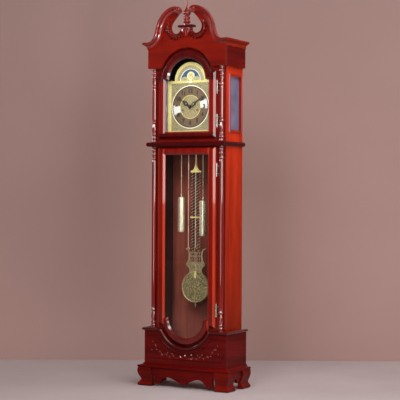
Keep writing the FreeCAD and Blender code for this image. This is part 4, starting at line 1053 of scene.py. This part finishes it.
def make_carving():
    carving = new_shape()
    ground = new_shape()
    spine = [(22.0, 1872.0), (32.0, 1853.0), (50.0, 1841.0), (72.0, 1839.0), (94.0, 1850.0), (108.0, 1870.0),
             (111.0, 1893.0), (106.0, 1914.0)]
    lobe_widths = [4.0 + 2.0 * math.sin(math.pi * i / 8.0) - 0.45 * i for i in range(9)]
    for side in (-1.0, 1.0):
        line = smooth(flipped(spine, side), 6)
        count = len(line)
        swell = [math.sin(math.pi * i / (count - 1)) for i in range(count)]
        # A dark sheet under the leaves: painted shade
        leaf(ground, line, [6.0 + 11.0 * s for s in swell], 2.0, board_front, 0.0)
        leaf(carving, line, [3.5 + 4.5 * s for s in swell], 10.0, board_front, 0.5)
        for k in range(2, count - 3, 4):
            along, across = heading(line, k)
            for lean in (-1.0, 1.0):
                tip = line[k] + along * 11.0 + across * lean * (9.0 + 7.0 * swell[k])
                elbow = line[k] + along * 2.0 + across * lean * (6.0 + 4.0 * swell[k])
                leaf(carving, smooth([line[k], elbow, tip], 4), lobe_widths, 8.0, board_front - 1.0)
        for x, z, start, sweep in ((101.0, 1919.0, -30.0, 420.0), (26.0, 1876.0, 180.0, -420.0)):
            curl = spiral(side * x, z, 8.0, 1.5, 90.0 + side * (start - 90.0), side * sweep, 26)
            wire(carving, curl, [3.0 - 1.6 * i / 26 for i in range(27)], board_front - 2.0, 8, 1.0)
    piece("acanthus_scrolls", carving, wood_across, "case", ["pediment_carving"], 60.0)
    piece("carving_painted_shade", ground, wood_painted_shade, "case", ["pediment_carving"], 60.0)
    pendant = new_shape()
    half = [(30.0, 1887.0), (29.0, 1878.0), (22.0, 1860.0), (11.0, 1843.0), (4.0, 1835.0)]
    slab(pendant, half + flipped(reversed(half), -1.0), board_front, board_front - 9.0, 4.0)
    for lean, length, wide, rise in ((0.0, 50.0, 9.0, 6.0), (-1.0, 36.0, 6.5, 4.0), (1.0, 36.0, 6.5, 4.0)):
        line = smooth([(lean * 9.0, pendant_top), (lean * 13.0, pendant_top - length * 0.5),
                       (lean * 6.0, pendant_top - length)], 6)
        shares = [i / (len(line) - 1) for i in range(len(line))]
        widths = [wide * (0.75 + 0.25 * math.sin(math.pi * t)) * (1.0 - 0.9 * t ** 2) for t in shares]
        leaf(pendant, line, widths, rise, board_front - 7.0, 0.3)
    piece("pendant_leaf", pendant, wood_carved, "case", (), 60.0)


def make_arch_bead():
    bead = new_shape()
    angles = [math.radians(a) for a in range(0, 181, 5)]
    line = [(hood_arch_r * math.cos(a), hood_arch_z + hood_arch_r * math.sin(a)) for a in angles]
    wire(bead, line, 2.6, hood_arch_front, 8, 0.9)
    piece("arch_bead", bead, wood_base, "hood_door")


def flower(shape, x, z, radius, petals=5):
    reaches = [radius * share for share in (0.2, 0.55, 0.85, 1.0)]
    widths = (0.6, radius * 0.3, radius * 0.26, 0.4)
    leaf_wheel(shape, x, z, petals, 0.0, reaches, widths, 0.5, board_front, 0.0)
    dome(shape, x, board_front + 0.1, z, radius * 0.24, 0.7, 10)


def make_inlay():
    painted_highlight = new_shape()
    inlay = new_shape()
    stems = new_shape()
    # The pearls where the glints fall are a brighter copy of the pearl: painted glints
    flower(painted_highlight, 2.0, 172.0, 5.0, 6)
    flower(painted_highlight, 40.0, 178.0, 4.5)
    leaf(painted_highlight, [(-28.0, 168.0), (-26.0, 165.0), (-24.0, 161.0), (-22.0, 158.0)], (0.6, 2.6, 2.2, 0.6), 0.5,
         board_front, 0.0)
    leaf(painted_highlight, [(38.0, 158.0), (39.0, 155.0), (41.0, 153.0)], (0.6, 2.0, 0.6), 0.5, board_front, 0.0)
    spray = [(8.0, 160.0), (40.0, 156.0), (75.0, 163.0), (110.0, 166.0), (145.0, 174.0), (170.0, 196.0),
             (190.0, 226.0)]
    blooms = ((78.0, 177.0, 4.0), (104.0, 180.0, 4.0), (141.0, 171.0, 5.0), (178.0, 214.0, 4.5), (198.0, 234.0, 3.5),
              (203.0, 190.0, 3.5))
    for side in (-1.0, 1.0):
        line = smooth(flipped(spray, side), 8)
        wire(stems, line, 0.6, board_front, 6, 0.4)
        for k in range(4, len(line) - 2, 5):
            along, across = heading(line, k)
            lean = 1.0 if (k // 5) % 2 else -1.0
            root = line[k]
            tip = root + along * 7.0 + across * lean * 9.0
            leaf(inlay, [root, root.lerp(tip, 0.4), root.lerp(tip, 0.75), tip], (0.5, 2.4, 2.0, 0.4), 0.4,
                 board_front, 0.0)
        for x, z, r in blooms:
            flower(inlay, side * x, z, r)
    piece("pearl_painted_glints", painted_highlight, pearl_painted_glint, "case")
    piece("pearl_flowers", inlay, dull_pearl, "case")
    piece("inlay_stems", stems, wood_deep, "case")


def make_screws():
    screws = new_shape()
    for z in hinge_heights:
        for step in (-20.0, 20.0):
            dome(screws, screw_x, screw_front, z + step, 2.2, 1.0)
    piece("case_hinge_screws", screws, pale_gold, "case")


# Stage

def make_stage():
    ground, tree, bsdf = new_material("pale_floor")
    grain = noise(tree, stretched(tree), 1.5, 4.0, 0.6)
    shade(tree, bsdf, "Base Color", grain, ((0.405, 0.335, 0.335), (0.46, 0.385, 0.385)))
    settle(bsdf, {"Roughness": 0.8})
    wall, tree, bsdf = new_material("plain_wall")
    grain = noise(tree, stretched(tree), 0.8, 3.0, 0.5)
    paint = ramp(tree, grain, ((0.39, 0.236, 0.212), (0.44, 0.275, 0.247)))
    # The wall goes darker towards the top: painted shade
    tree.links.new(faded(tree, paint, 2.4, 0.2, 0.58), bsdf.inputs["Base Color"])
    settle(bsdf, {"Roughness": 0.9})
    # From behind the backdrop is clear, so that it hides nothing from the other views
    cleared(tree, bsdf, tree.nodes.new("ShaderNodeNewGeometry").outputs["Backfacing"])
    # The backdrop stands square to the camera
    turn = math.radians(camera_yaw)
    across = Vector((math.cos(turn), math.sin(turn), 0.0)) * backdrop_half
    away = Vector((-math.sin(turn), math.cos(turn), 0.0)) * backdrop_distance
    middle = Vector(camera_place) * Vector((1.0, 1.0, 0.0)) + away
    high = Vector((0.0, 0.0, backdrop_height))
    left = middle - across
    right = middle + across
    for name, corners, material in (
        ("floor", [(x, z, 0.0) for x, z in strip(floor_half, -floor_half, floor_half)], ground),
        ("backdrop", [left, right, right + high, left + high], wall),
    ):
        mesh = bpy.data.meshes.new(name)
        mesh.from_pydata(corners, [], [(0, 1, 2, 3)])
        mesh.materials.append(material)
        board = bpy.data.objects.new(name, mesh)
        bpy.context.collection.objects.link(board)


make_camera()
make_lights()
dress_nodes()
make_spandrels()
make_rings()
make_numerals()
make_dial_centre()
make_dial_arch()
make_moon()
make_hands()
make_chains()
make_rods()
make_bob()
make_lyre()
make_carving()
make_arch_bead()
make_inlay()
make_screws()
make_stage()
